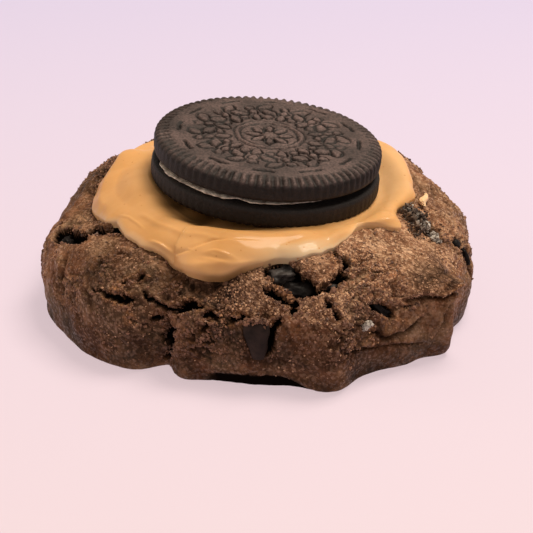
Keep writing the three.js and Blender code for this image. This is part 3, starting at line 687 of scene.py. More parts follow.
# folds, where one roll of dough hangs over the next: how far it stands out, how far it reaches
# back, and its path, with the roll on the path's left seen from outside
folds = [
    (0.8, 3.0, [(-172, 0.7), (-166.4, 0.65), (-162, 0.62), (-159, 0.57), (-156, 0.48),
                (-149, 0.44)]),
    (2.0, 3.2, [(-50, 0.835), (-47.6, 0.838), (-44.1, 0.84), (-41.6, 0.862), (-39.2, 0.87),
                (-35.9, 0.85), (-30, 0.87), (-22, 0.94)]),
    (1.9, 2.8, [(-42.5, 1.7), (-41.6, 1.25), (-40.2, 1.06), (-39.5, 0.976), (-38.2, 0.93),
                (-35, 0.9), (-30, 0.9)]),
    (1.1, 2.6, [(-70, 0.98), (-67, 1.02), (-60.4, 1.13), (-54, 1.18), (-48.7, 1.24), (-43.4, 1.3)]),
    (0.7, 2.0, [(-60, 0.95), (-56, 1.0), (-50, 1.0), (-46, 0.97), (-42, 0.94)]),
    (0.6, 2.2, [(-154, 0.96), (-154.7, 0.88), (-155.4, 0.8), (-156.6, 0.73)]),
    (0.6, 2.2, [(-172, 1.0), (-164, 0.97), (-157, 1.02), (-151, 1.12)]),
    (0.7, 2.2, [(-176, 1.3), (-175, 1.1), (-178, 0.95), (-184, 0.86)]),
    (0.7, 2.2, [(20, 1.1), (32, 1.04), (46, 1.08), (58, 1.02)]),
    (0.7, 2.2, [(96, 1.05), (108, 1.1), (124, 1.04), (138, 1.1)]),
]

# pieces baked in: size is across the skin, down it and through it, sink is how deep the middle
# lies, taper narrows the lower end, rough dents it, and margin and frayed are for its pocket
inclusions = {
    "chocolate_front": {"at": -89.9, "level": 0.965, "size": (5.4, 7.8, 3.2), "sink": 1.35,
                        "turn": 3, "taper": 0.45, "margin": 0.1},
    "chocolate_hollow": {"at": -79.5, "level": 0.595, "size": (6.4, 3.4, 2.6), "sink": 4.0,
                         "turn": -20, "rough": 0.3},
    "chocolate_left": {"at": -168, "level": 0.69, "size": (4.2, 3.0, 3.6), "sink": 3.3, "turn": 15,
                       "taper": 0.1, "rough": 0.5, "frayed": 0.06},
    "chocolate_right": {"at": -54.6, "level": 0.884, "size": (4.0, 1.7, 2.6), "sink": 2.7,
                        "turn": -50, "rough": 0.4, "margin": 0.35},
    "chocolate_rim": {"at": -14.2, "level": 0.745, "size": (2.0, 1.8, 2.0), "sink": 1.45},
    "chocolate_back": {"at": 78, "level": 0.72, "size": (5, 4, 3.2), "sink": 1.1, "turn": 25,
                       "taper": 0.2},
    "chocolate_back_left": {"at": 120, "level": 0.92, "size": (3.8, 5, 3), "sink": 0.9, "turn": -10,
                            "taper": 0.3},
    "biscuit_crumb": {"at": -18.5, "level": 0.575, "size": (5.2, 4.4, 2.6), "sink": 0.55,
                      "turn": 10},
}


def skinLine(path, steps=5):
    # the points of a path over the skin, with extra ones between its pairs
    pairs = np.array(path, float)
    angle = np.rad2deg(np.unwrap(np.deg2rad(pairs[:, 0])))
    at = np.linspace(0, len(pairs) - 1, (len(pairs) - 1) * steps + 1)
    angle, level = (np.interp(at, np.arange(len(pairs)), values) for values in (angle, pairs[:, 1]))
    return skin(angle, level)


def nearLine(points, line, reach):
    # which points are close enough to a line to be touched by it
    middle = line.mean(axis=0)
    farthest = np.linalg.norm(line - middle, axis=1).max()
    return np.linalg.norm(points - middle, axis=-1) < farthest + reach


def cutCracks(points, out):
    # depth of the listed cracks, how much fresh crumb shows, and their edges: a trough whose width
    # wanders and closes at both ends, with a raised broken lip on each side
    clean = warped(points, 2.4, 0.8 * crust["ragged"], 31)
    ragged = warped(warped(points, 2.4, crust["ragged"], 31), 0.9, 1.1 * crust["ragged"], 61)
    depth, lip, rim = np.zeros(len(points)), np.zeros(len(points)), np.zeros(len(points))
    for number, (wide, deep, fresh, path) in enumerate(cracks):
        line = skinLine(path)
        near = nearLine(points, line, 4.0)
        edges = clean if number < crust["cleanCracks"] else ragged
        away, along = strokeDistance(edges[near], line, out[near])
        away = np.abs(away)
        size = np.clip(np.minimum(along, 1 - along) / 0.22, 0, 1) ** 0.5
        wander = 1 + 0.45 * valueNoise(points[near], 2.1, 91 + number)
        half = 0.5 * wide * size * wander + 0.01
        cut = deep * size * np.clip(1 - (away / half) ** 2.4, 0, 1)
        beside = size * bell(away - half - 0.25, 0.55)
        inside = size * bell(away - half + 0.1, 0.4)
        depth[near] = np.maximum(depth[near], cut)
        lip[near] = np.maximum(lip[near], fresh * beside)
        rim[near] = np.maximum(rim[near], inside)
    deepEdge = 3.0  # an edge this far down is another crack's inside
    return depth, lip, rim * (1 - smooth(0.6 * deepEdge, deepEdge, depth))


def hangFolds(points, out):
    # height of the rolls: each bulges beside its line, ends in a short steep drop and is hollow
    # past it
    rise, groove = np.zeros(len(points)), np.zeros(len(points))
    bent = warped(points, 5.0, 0.5, 141)
    for height, back, path in folds:
        line = skinLine(path, 8)
        near = nearLine(points, line, 7.0)
        side, along = strokeDistance(bent[near], line, out[near])
        size = np.clip(np.minimum(along, 1 - along) / 0.3, 0, 1) ** 0.7
        bulge = smooth(0, 0.35, side) * np.exp(-(np.maximum(side, 0) / back) ** 1.5)
        rise[near] += height * size * (bulge - 0.4 * bell(np.minimum(side, 0), 1.3) * (side < 0))
        groove[near] = np.maximum(groove[near], size * bell(side + 0.25, 0.38))
    return rise, groove


def pocketDepth(points):
    # the crust sinks round each piece that is baked in, in a superellipse a little wider than it
    depth = np.zeros(len(points))
    for piece in inclusions.values():
        middle, _, across, down = inclusionAxes(piece)
        near = np.linalg.norm(points - middle, axis=-1) < 9
        offset = points[near] - middle
        margin = piece.get("margin", 0.7)
        v = 2 * offset @ down / (piece["size"][1] + margin)
        narrow = 1 - piece.get("taper", 0.0) * smooth(-1.1, 1.0, v)
        u = 2 * offset @ across / (piece["size"][0] * narrow + margin)
        reach = (np.abs(u) ** 2.5 + np.abs(v) ** 2.5) ** 0.4
        reach = reach + piece.get("frayed", 0.2) * layeredNoise(points[near], 1.6, 17, 2)
        sunk = (piece["sink"] + 0.6) * (1 - smooth(0.75, 1.12, reach))
        depth[near] = np.maximum(depth[near], sunk)
    return depth


def inclusionAxes(piece):
    # the middle on the skin and the ways out of it, across it and down it, turned about the way out
    angle, level = np.array(float(piece["at"])), np.array(float(piece["level"]))
    out = outward(angle, level)
    east = np.array([-math.sin(math.radians(angle)), math.cos(math.radians(angle)), 0.0])
    up = unit(np.cross(out, east))
    across = np.cross(up, out)
    turn = math.radians(piece.get("turn", 0))
    c, s = math.cos(turn), math.sin(turn)
    return skin(angle, level), out, c * across + s * up, s * across - c * up


def smoothSkinShare(angle, level):
    # where the dough set with a closed smooth skin and no loose grain: its lower sides, whose upper
    # edge wanders
    level = level + 0.09 * layeredNoise(skin(angle, level), 7.0, 285, 3)
    right = smooth(0.86, 1.0, level) * angleBump(angle, -30, 26)
    left = smooth(0.9, 1.1, level) * angleBump(angle, -170, 22)
    back = smooth(0.95, 1.25, level) * angleBump(angle, 90, 80)
    farLeft = smooth(0.5, 0.6, level) * angleBump(angle, 170, 16)
    return np.clip(right + left + back + farLeft + 0.75 * smooth(1.25, 1.7, level), 0, 1)


def grainShare(angle, level, points):
    # where sugar stands on the crust as close grains: the front's middle and the right shoulder,
    # and more thinly everywhere else
    right = angleBump(angle, -40, 30) * (1 - smooth(0.8, 0.95, level))
    middle = angleBump(angle, -84, 22) * (1 - smooth(0.76, 0.9, level))
    beside = angleBump(angle, -59, 13) * (1 - smooth(0.78, 0.9, level))  # next to the hollow
    back = 0.5 * angleBump(angle, 70, 70)
    front = 0.6 * np.maximum(np.maximum(0.5 * right, middle), beside)
    return np.clip(0.32 + front + back + 0.3 * layeredNoise(points, 6.0, 281, 2), 0, 1)


def crustGrid():
    # the levels of the rings, evenly spaced down the front from where the crust shows, and the
    # angles of the columns, closer at the front
    turn = np.arange(crust["columns"]) / crust["columns"]
    angles = 360 * turn - 180 - crust["frontShare"] * np.sin(2 * np.pi * (turn - 0.25))
    dense = np.linspace(crust["shownFrom"], 2, 500)
    run = lengthAlong(skin(np.full(500, -95.0), dense))
    shown = np.interp(np.linspace(0, run[-1], crust["rows"]), run, dense)
    return np.concatenate([crust["hiddenRings"], shown]), angles


def crustSurface():
    # rings of the skin, moved along the way out by lumps, plates, grains, cracks, folds, pockets
    # and the dents listed with the painted light and stains
    levels, angles = crustGrid()
    level, angle = (a.ravel() for a in np.meshgrid(levels, angles, indexing="ij"))
    flat, out = skin(angle, level), outward(angle, level)

    skinned = smoothSkinShare(angle, level)
    inside = insideButter(flat)
    covered = smooth(0.6, 2.2, inside) * (level < 0.9)
    # under the overhang of the butter's drip the crust is sunk and given painted shadow
    overhung = angleBump(angle, -106, 13) * smooth(-1.9, -0.4, inside) * (level < 0.9)
    foot = smooth(1.75, 2, level)
    rough = (1 - 0.8 * skinned) * (1 - 0.6 * foot)
    finer = angleBump(angle, -34, 26)  # the right shoulder, whose grain is finer and flatter

    # plates of skin, and the seams between them
    nearest, second, own = cellNoise(warped(flat, 3.0, 0.9, 201), crust["plateSize"], 211)
    gap = second - nearest
    crackled = smooth(0.0, 0.5, layeredNoise(flat, 15.0, 221, 2)) * (1 - 0.85 * skinned)
    crackled = crackled * smooth(-0.3, 0.3, valueNoise(flat, 3.0, 225))
    crackled = crackled * (1 - smooth(0.95, 1.15, level))
    plates = crust["plate"] * (own - 0.5) * smooth(0, 0.25, gap) * (1 - 0.7 * skinned)
    seams = crackled * (1 - smooth(0, 0.09, gap))

    # sugar grains, coarse crumb, crevices in it and pits
    pebble, _, tall = cellNoise(warped(flat, 1.6, 0.35, 231), crust["grainSize"], 241)
    pebble = pebble + (0.35 - pebble) * 0.5 * finer
    grains = np.clip(1 - (pebble / 0.62) ** 2, 0, 1) * (0.45 + 0.55 * tall)
    coarse = layeredNoise(flat, 2.6, 251, 3, 0.6)
    crumbly = smooth(-0.35, 0.35, layeredNoise(flat, 11.0, 255, 2)) * rough
    crumbly = crumbly * (1 - 0.6 * smooth(1.0, 1.3, level))
    bent = warped(flat * [1, 1, 1.7], 2.2, 0.5, 257)
    nearness = 1 - np.abs(layeredNoise(bent, 3.4, 259, 2))
    crevice = smooth(0.85, 0.96, nearness) * crumbly
    pits = smooth(0.45, 0.75, valueNoise(flat, 1.5, 261)) * rough * (1 - 0.8 * finer)

    depth, lip, rim = cutCracks(flat, out)
    rise, groove = hangFolds(flat, out)
    # the painted light and shade of the stains list, partly the dough's own stains, and the dents
    # that go with them
    stainAndPaintedLight, dent = 0, 0
    for at, wide, height, tall, amount, deep in crust["stainsAndPaintedLight"]:
        spot = angleBump(angle, at, wide) * bell(level - height, tall)
        stainAndPaintedLight, dent = stainAndPaintedLight + amount * spot, dent + deep * spot
    pocket = pocketDepth(flat)
    quiet = 0.4 + 0.6 * (1 - smooth(0.2, 1.0, depth + pocket))  # less grain in cracks and pockets

    # all of it together, in millimetres along the way out
    moved = broadRelief(flat, level) + plates - crust["seam"] * seams
    moved = moved + rise - crust["groove"] * groove - depth - pocket - dent - 0.7 * overhung
    grainy = grainShare(angle, level, flat) * rough
    fewer = 1 - 0.5 * angleBump(angle, -34, 24)
    moved += crust["grain"] * (grains - 0.4) * grainy * quiet * fewer
    pitted = crust["coarse"] * coarse * rough * quiet - crust["pit"] * pits
    moved += pitted - crust["crevice"] * crevice
    moved += crust["lip"] * lip * (0.5 + coarse)
    lowEdge = 1.42 + 0.5 * smooth(-86, -70, angle) + 0.3 * (1 - smooth(-108, -98, angle))
    undercut = smooth(lowEdge, lowEdge + 0.07, level) * smooth(-107, -100, angle)
    undercut = undercut * (1 - smooth(-77, -70, angle))
    moved = moved * (1 - 0.6 * foot) - 1.1 * covered - crust["undercut"] * undercut
    place = flat + moved[:, None] * out
    place[:, 2] = np.maximum(place[:, 2], 0.02)

    # three more rings close the underside
    rows = len(levels)
    place = place.reshape(rows, crust["columns"], 3)
    under = np.array([0.97, 0.84, 0.5])[:, None, None] * place[-1]
    under[..., 2] = np.array([0.4, 0.0, 0.0])[:, None] * place[-1, :, 2]
    rings = np.concatenate([place, under])
    points = closedRings(skin(np.array(0.0), np.array(0.0)) - [0, 0, 1.1], rings, [0, 0, 0])

    # how pale each point is, with some painted light and shade, how deep in painted shadow, and how
    # freshly broken
    patch = layeredNoise(flat, 5.0, 271, 3)
    # partly painted light: paler up the right shoulder, on the key light's side
    right = angleBump(angle, -32, 40) * (1.35 - 0.6 * smooth(0.5, 0.8, level))
    right = right * (1 - smooth(0.82, 1.02, level))
    back = angleBump(angle, 60, 80) * (1 - smooth(0.9, 1.2, level))
    pale = 0.26 + 0.5 * right + 0.4 * back + 0.3 * patch * (1 - 0.5 * finer)
    # partly painted shade: darker down the lower sides; and the stains list's painted light and
    # shade
    pale = np.clip(pale - 0.3 * smooth(0.95, 1.4, level) + stainAndPaintedLight, 0, 1)
    left = angleBump(angle, -160, 16)  # the crack there is dark right up to its edges
    # pit is painted shade: dark in cracks, and on the left right up to the crack's edges, in seams,
    # pits, crevices, fold grooves and pockets
    pit = smooth(0.25 - 0.2 * left, 1.1 - 0.75 * left, depth) + 0.5 * seams + 0.35 * pits
    pit = pit + 0.6 * crevice + 0.75 * groove + smooth(0.4, 1.4, pocket)
    # painted shadow in the undercut at the front foot, under the drip's overhang and where the
    # stains list is darkest
    pit = pit + undercut + 0.45 * overhung + 0.7 * np.maximum(-stainAndPaintedLight - 0.2, 0)
    pit = np.clip(pit, 0, 1)
    lip = lip + 0.5 * crumbly * smooth(0.66, 0.78, nearness) * (1 - smooth(0.8, 0.88, nearness))
    lip = np.clip(lip * smooth(-0.35, 0.5, patch), 0, 1)

    def withEnds(values):
        # a value for each point of the closed mesh: the underside takes the foot's
        ring = values.reshape(rows, -1)
        return np.concatenate([[0], np.concatenate([ring, *[ring[-1:]] * 3]).ravel(), [0]])

    addMesh("cookie_crust", points, ringFaces(len(rings), crust["columns"]), bakedDough,
            "cookie_crumb", ["baked_cookie"], pale=withEnds(pale), lip=withEnds(lip),
            pit=withEnds(pit), grainy=withEnds(grainy), tops=withEnds(grains))
    shares = {"lip": lip, "pit": pit, "rough": rough, "covered": covered, "grainy": grainy,
              "rim": rim, "crumbly": crumbly}
    shape = {name: values.reshape(rows, -1) for name, values in shares.items()}
    return {"place": place, "level": levels, "angle": angles, **shape}


crustShape = crustSurface()

lumpGrid = (26, 38)  # rings and columns of each lump


def lumpSurface(size, taper=0.0, rough=0.12, seed=1, power=3.2):
    # a superellipsoid about its second axis, narrowed to its lower end and dented by noise
    rows, columns = lumpGrid
    v = (np.arange(rows) + 1) / (rows + 1) * np.pi
    u = np.arange(columns) / columns * 2 * np.pi
    v, u = np.meshgrid(v, u, indexing="ij")
    way = np.stack([np.sin(v) * np.cos(u), np.cos(v), -np.sin(v) * np.sin(u)], axis=-1)
    way = np.concatenate([[[0, 1, 0]], way.reshape(-1, 3), [[0, -1, 0]]])
    shape = way / (np.sum(np.abs(way) ** power, axis=1) ** (1 / power))[:, None]
    dents = 1 + rough * layeredNoise(shape * 2.0 + seed, 1.1, 300 + seed, 3)
    narrow = 1 - taper * smooth(-1.1, 1.0, -shape[:, 1])
    narrowing = np.stack([narrow, np.ones(len(shape)), narrow ** 0.5], axis=1)
    return shape * dents[:, None] * narrowing * np.array(size) / 2


def placeLump(piece, seed):
    # the lump laid on its axes on the skin, sunk by its own amount
    middle, out, across, down = inclusionAxes(piece)
    local = lumpSurface(piece["size"], piece.get("taper", 0.0), piece.get("rough", 0.12), seed)
    middle = middle - piece["sink"] * out
    return middle + local[:, :1] * across - local[:, 1:2] * down + local[:, 2:] * out


# smaller bits of the same chocolate that the dough has no pocket for
extraChocolate = {
    "chocolate_hollow_top": {"at": -82.0, "level": 0.525, "size": (5.2, 3.0, 2.6), "sink": 2.2,
                             "turn": 20, "rough": 0.5},
    "chocolate_hollow_end": {"at": -67.0, "level": 0.6, "size": (3.6, 1.9, 2.4), "sink": 3.4,
                             "turn": -18, "rough": 0.4},
    "chocolate_rim_low": {"at": -14.2, "level": 0.86, "size": (0.7, 3.4, 1.5), "sink": 0.95,
                          "turn": -4, "rough": 0.4},
}
# the lumps that aren't glossy
chocolateLooks = {
    "chocolate_front": mattChocolate, "chocolate_back": mattChocolate,
    "chocolate_back_left": mattChocolate, "chocolate_hollow_top": chocolateFilm,
}


def layChocolate(pieces, firstSeed):
    # each lump in its pocket, glossy unless it is listed with another look; a piece with a solid
    # of its own name stands for that
    for number, (name, piece) in enumerate(pieces.items()):
        if name != "biscuit_crumb":
            addMesh(name + "_piece", placeLump(piece, firstSeed + number), ringFaces(*lumpGrid),
                    chocolateLooks.get(name, glossyChocolate), "dark_chocolate",
                    [name] if name in inclusions else [])


layChocolate(inclusions, 0)
layChocolate(extraChocolate, 20)
print("dough and chocolate ready")


butterFeatures = {
    # a ridge or groove over a span of angles: height, width, and pairs of an angle and a radius
    "strokes": [
        (0.22, 0.6, [(-144, 28.8), (-138.6, 28.9), (-132.6, 29.4), (-127.4, 29.3), (-121, 28.9),
                     (-113.8, 29.5), (-107, 29.9)]),
        (0.3, 0.3, [(-130, 32.8), (-127.6, 32.7), (-125, 32.6), (-122, 32.3)]),
        (-0.4, 0.22, [(-119, 32.4), (-117.2, 32.5), (-114, 32.6), (-112.2, 31.9), (-109.8, 31.1),
                      (-107.8, 30.3), (-104, 29.9)]),
        (0.2, 0.5, [(-112, 34.9), (-107.6, 34.4), (-103, 33.9), (-97, 33.6), (-90.6, 33.0)]),
        (0.16, 0.22, [(-109, 32.8), (-105.8, 32.2), (-102.2, 32.5), (-98.4, 33.0)]),
        (-0.16, 0.3, [(-110, 33.4), (-106.4, 33.2), (-102.6, 33.3), (-99, 33.6)]),
        (0.12, 0.25, [(-153, 30.8), (-147, 30.4), (-141, 30.7), (-136, 31.2)]),
        (0.4, 0.8, [(-52, 25.9), (-47, 26.6), (-42, 28.4), (-37, 30.1), (-33, 29.6)]),
        (-0.3, 1.0, [(-88, 29.8), (-83, 29.2), (-77, 28.8), (-68, 27.6), (-60, 26.2)]),
    ],
    # a step, beyond which the surface stands higher: height, how wide it rises and eases, and pairs
    "steps": [
        (0.35, 0.4, 3.6, [(-120, 32.9), (-117, 32.7), (-113.5, 32.3), (-110.7, 31.3), (-106, 30.1),
                          (-98, 29.6), (-92, 29.2)]),
    ],
    # where the biscuit's rim stands clear of the butter: angle, width and how far
    "gaps": [(-128, 26, 1.9)],
}


def overDome(x, y, thick):
    # a point over the dome by a thickness square to it, from the heights a little to each side
    step = 0.2
    slopeX = domeHeight(x - step, y) - domeHeight(x + step, y)
    slopeY = domeHeight(x, y - step) - domeHeight(x, y + step)
    square = unit(np.stack([slopeX, slopeY, 2 * step + 0 * x], axis=-1))
    return np.stack([x, y, domeHeight(x, y)], axis=-1) + square * thick[..., None]


def alongCurve(pairs, angle, radius, before, after):
    # how far each point lies outside a curve of angle and radius, and a share that fades in and out
    # at the curve's two ends
    line = np.array(pairs, float)
    start, end = line[0, 0], line[-1, 0]
    side = radius - np.interp(angle, line[:, 0], line[:, 1])
    fade = smooth(start - before, start + after, angle) * (1 - smooth(end - after, end + 2, angle))
    return side, fade


def butterSurface():
    # rings about the biscuit: under it, up its wall as a meniscus, out over the dome, whose furrows
    # it fills, with ridges, a fold and a groove, round the lip and back underneath
    columns = pool["columns"]
    angle = np.arange(columns) * 360 / columns - 180
    turn = np.radians(angle)
    circle = np.stack([30 * np.cos(turn), 30 * np.sin(turn), 0 * turn], axis=-1)
    wobble = 0.22 * valueNoise(circle, 1.6, 401)
    scallop = 0.35 * valueNoise(circle, 3.4, 402)
    ragged = 0.35 + 0.65 * np.clip(angleBump(angle, -150, 30) + angleBump(angle, -62, 22), 0, 1)
    edge = closedCurve(pool["edge"], angle) + ragged * (wobble + scallop)
    thick = closedCurve(pool["thickness"], angle)
    share = 1 - (1 - np.linspace(0, 1, pool["rows"])) ** 1.35
    share = np.concatenate([share[:-1], [0.999, 1.0]])[:, None]

    hidden = 0.55  # how far in behind the biscuit's wall the free surface starts
    radius = pool["recess"] - hidden + (edge - pool["recess"] + hidden) * share
    x, y = biscuit["x"] + radius * np.cos(turn), biscuit["y"] + radius * np.sin(turn)
    flat = np.stack([x, y, domeHeight(x, y)], axis=-1)
    sunk = broadRelief(flat, levelAt(x, y)) * (0.35 + 0.65 * smooth(0.55, 1, share))
    rounded = np.sqrt(np.clip(1 - share ** (5 - 3 * ragged), 0, 1))
    body = thick * rounded + pool["clearance"]
    feature = np.zeros(x.shape)
    for height, wide, pairs in butterFeatures["strokes"]:
        side, fade = alongCurve(pairs, angle, radius, 2, 4)
        feature += height * fade * bell(side, wide)
    for height, rise, ease, pairs in butterFeatures["steps"]:
        side, fade = alongCurve(pairs, angle, radius, 1, 7)
        step = smooth(-rise / 2, rise / 2, side) * np.exp(-np.maximum(side, 0) / ease)
        feature += height * fade * step
    # it fills the dome's furrows up to the mean height of its neighbours round the axis
    evened = 0
    for turnBy in np.radians([-12, -8, -4, 4, 8, 12]):
        c, s = np.cos(turnBy), np.sin(turnBy)
        evened = evened + domeHeight(c * x - s * y, s * x + c * y) / 6
    body = body + np.maximum(evened - flat[..., 2], 0) * (1 - smooth(0.75, 0.97, share))
    body = body + feature * (1 - smooth(0.93, 1, share))
    body = body + 0.12 * layeredNoise(flat, 5.0, 411, 2) * rounded
    body = body + (-pool["clearance"] - pool["curl"] - body) * smooth(0.985, 1, share)
    free = overDome(x, y, body + sunk)

    # up the biscuit's wall, except where its rim stands clear
    climb = pool["meniscus"] + 0.45 * angleBump(angle, -62, 30) - 0.4 * angleBump(angle, -100, 14)
    climb = biscuitPlane(x, y) + (climb + 0.7 * angleBump(angle, -165, 16))
    clear = sum(far * angleBump(angle, at, wide) for at, wide, far in butterFeatures["gaps"])
    climb = climb + 0.1 * valueNoise(flat, 2.0, 421) - clear
    blend = smooth(pool["recess"] - 0.4, pool["recess"] + pool["reach"], radius)
    blend = np.maximum(blend, share ** 3)
    ripple = feature * (1 - blend) * smooth(0.5, 2.5, radius - pool["recess"])
    free[..., 2] = climb + (free[..., 2] - climb) * blend + ripple

    # hidden rings under the biscuit, and under its own edge
    inner = np.array([6.0, 13.0, 19.5, 21.4])[:, None]
    ix, iy = biscuit["x"] + inner * np.cos(turn), biscuit["y"] + inner * np.sin(turn)
    under = np.stack([ix, iy, biscuitPlane(ix, iy) + 0.1 - clear * smooth(14, 20, inner)], axis=-1)
    back = np.array([0.985, 0.95, 0.88, 0.78, 0.6, 0.3])[:, None] * edge
    bx, by = biscuit["x"] + back * np.cos(turn), biscuit["y"] + back * np.sin(turn)
    relief = broadRelief(np.stack([bx, by, domeHeight(bx, by)], axis=-1), levelAt(bx, by))
    below = overDome(bx, by, np.full(bx.shape, -pool["bedded"]) + relief)
    rings = np.concatenate([under, free, below])
    mx, my = np.array(biscuit["x"]), np.array(biscuit["y"])
    points = closedRings([mx, my, biscuitPlane(mx, my) + 0.1], rings,
                         [mx, my, domeHeight(mx, my) - pool["bedded"]])

    # thin: pale where the film is thin; the second share is painted shade by the biscuit's rim, on
    # the drip's lower rim and in a few broad patches
    thin = 0.6 * smooth(0.86, 1.0, share) * (1.4 * ragged - 0.4)
    thin = thin + 0.8 * angleBump(angle, -78, 13) * smooth(0.6, 0.85, share)
    thin = thin * np.ones(x.shape) + 0.3 * angleBump(angle, 8, 34) * (1 - smooth(0.8, 0.95, share))
    # painted shade on the drip's curled lower rim, and round the biscuit's foot
    olive = 0.7 * angleBump(angle, -104, 13) * smooth(0.95, 1.0, share)
    olive = olive + 0.12 * (1 - smooth(23, 26, radius))
    for amount, at, wide, near, far in pool["olive"]:
        olive = olive + amount * angleBump(angle, at, wide) * (1 - smooth(near, far, radius))
    olive = olive * (0.8 + 0.4 * valueNoise(flat, 4.0, 431))

    def withEnds(values):
        # a value for each point of the closed mesh: nothing on its underside
        values = np.clip(values, 0, 1)
        hiddenRings = np.tile(values[0], len(inner))
        return np.concatenate([[0], hiddenRings, values.ravel(), np.zeros(len(back) * columns + 1)])

    addMesh("nut_butter_pool", points, ringFaces(len(rings), columns), nutButter, "nut_butter",
            ["nut_butter"], thin=withEnds(thin), olive=withEnds(olive))


butterSurface()


# where the splash lies on the skin, its size, and how far it lifts and bends
splash = {"at": -3.4, "level": 0.495, "size": (1.7, 5.6, 1.3), "rough": 0.3, "lift": 0.3,
          "bend": 0.28}


def butterDab():
    # the small splash that fell clear of the pool: a drop bent over to its thin tail
    angle, level = np.array(splash["at"]), np.array(splash["level"])
    middle, out = skin(angle, level), outward(angle, level)
    east = unit(np.cross([0.0, 1.0, 0.0], out))
    north = np.cross(out, east)
    local = lumpSurface(splash["size"], 0.0, splash["rough"], 8, power=2.2)
    up = local[:, 1:2] / (splash["size"][1] / 2)
    local = local * (1 - np.array([0.5, 0, 0.3]) * smooth(-0.4, 0.9, up))
    local[:, :1] += 0.35 * up + splash["bend"] * np.sin(3.4 * up)
    middle = middle + splash["lift"] * out
    points = middle + local[:, :1] * east + local[:, 1:2] * north + local[:, 2:] * out
    zero = np.zeros(len(points))
    addMesh("nut_butter_splash", points, ringFaces(*lumpGrid), splashedButter, "nut_butter",
            ["nut_butter_dab"], thin=zero, olive=zero)


butterDab()
print("nut butter ready")


wafer = {
    "columns": 720, "faceStep": 0.22, "rimStep": 0.18, "plainStep": 1.5,
    "rise": 0.24, "engrave": 0.7,  # how far the pattern stands out and sinks
    # from the face's middle round to the underside: radius, height, groove depth down and inwards
    "profile": [
        (0.0, 4.6, 0, 0), (18.4, 4.6, 0, 0), (19.4, 4.59, 0.08, 0), (19.9, 4.57, 0.38, 0),
        (20.6, 4.49, 0.6, 0), (21.4, 4.28, 0.66, 0.06), (22.0, 3.98, 0.58, 0.18),
        (22.35, 3.62, 0.36, 0.3), (22.5, 3.15, 0.2, 0.34), (22.52, 2.6, 0.08, 0.28),
        (22.5, 1.7, 0.02, 0.2), (22.45, 0.85, 0, 0.1), (22.2, 0.36, 0, 0), (21.7, 0.08, 0, 0),
        (20.8, 0.0, 0, 0), (0.0, 0.0, 0, 0),
    ],
    # the daisy's petals: radius, length and width
    "petals": 8, "petal": (3.1, 3.6, 1.9),
    # each sprig's leaves: radius, angle past the sprig's own, length, width and lean
    "sprigs": 12,
    "leaves": [
        (9.4, 15, 3.4, 2.1, 0), (12.0, 0, 4.2, 2.6, 52), (14.6, 4, 4.2, 2.5, 128),
        (9.6, 1, 2.2, 1.9, 90), (14.3, 17, 2.5, 2.0, 60), (12.2, 15.5, 2.4, 1.9, 0),
    ],
    # rings: how high, radius and width, and the same for the ring of strokes near the rim
    "rings": [(1.0, 6.4, 0.32), (-0.9, 5.8, 0.24), (-0.9, 7.0, 0.24)],
    "strokes": [(-1.2, 17.8, 0.32), (0.5, 17.1, 0.3)],
}


def leafHeight(x, y, radius, angle, long, wide, lean=0.0):
    # a pointed oval that stands up inside a sunken outline: 0.7 in its middle, -1 on the outline
    turn = math.radians(angle)
    dx, dy = x - radius * math.cos(turn), y - radius * math.sin(turn)
    way = math.radians(angle + lean)
    u = 2 * (dx * math.cos(way) + dy * math.sin(way)) / long
    v = 2 * (dy * math.cos(way) - dx * math.sin(way)) / wide
    reach = np.abs(v) + np.abs(u) ** 2.2
    return 0.7 * (1 - smooth(0.45, 0.8, reach)) - bell(reach - 1.0, 0.25)


def garland(x, y):
    # the pattern's height over the face: a daisy in a ring, a wreath of leaves and a ring of
    # strokes, all a little uneven, as a worn stamp leaves them
    spot = warped(np.stack([x, y, 0 * x], axis=-1), 1.4, 0.38, 531)
    x, y = spot[..., 0], spot[..., 1]
    r, angle = np.hypot(x, y), np.degrees(np.arctan2(y, x))
    height = 0
    for amount, radius, wide in wafer["rings"]:
        height = height + amount * bell(r - radius, wide)
    radius, long, wide = wafer["petal"]
    for k in range(wafer["petals"]):
        height = height + leafHeight(x, y, radius, k * 360 / wafer["petals"], long, wide)
    for k in range(wafer["sprigs"]):
        for radius, past, long, wide, lean in wafer["leaves"]:
            at = k * 360 / wafer["sprigs"] + past
            height = height + leafHeight(x, y, radius, at, long, wide, lean)
    height = height + bell(r, 0.9)
    strokes = smooth(-0.1, 0.25, np.cos(np.radians(angle * wafer["sprigs"] + 40)))
    for amount, radius, wide in wafer["strokes"]:
        height = height + amount * strokes * bell(r - radius, wide)
    return np.clip(height, -1.3, 1.0)


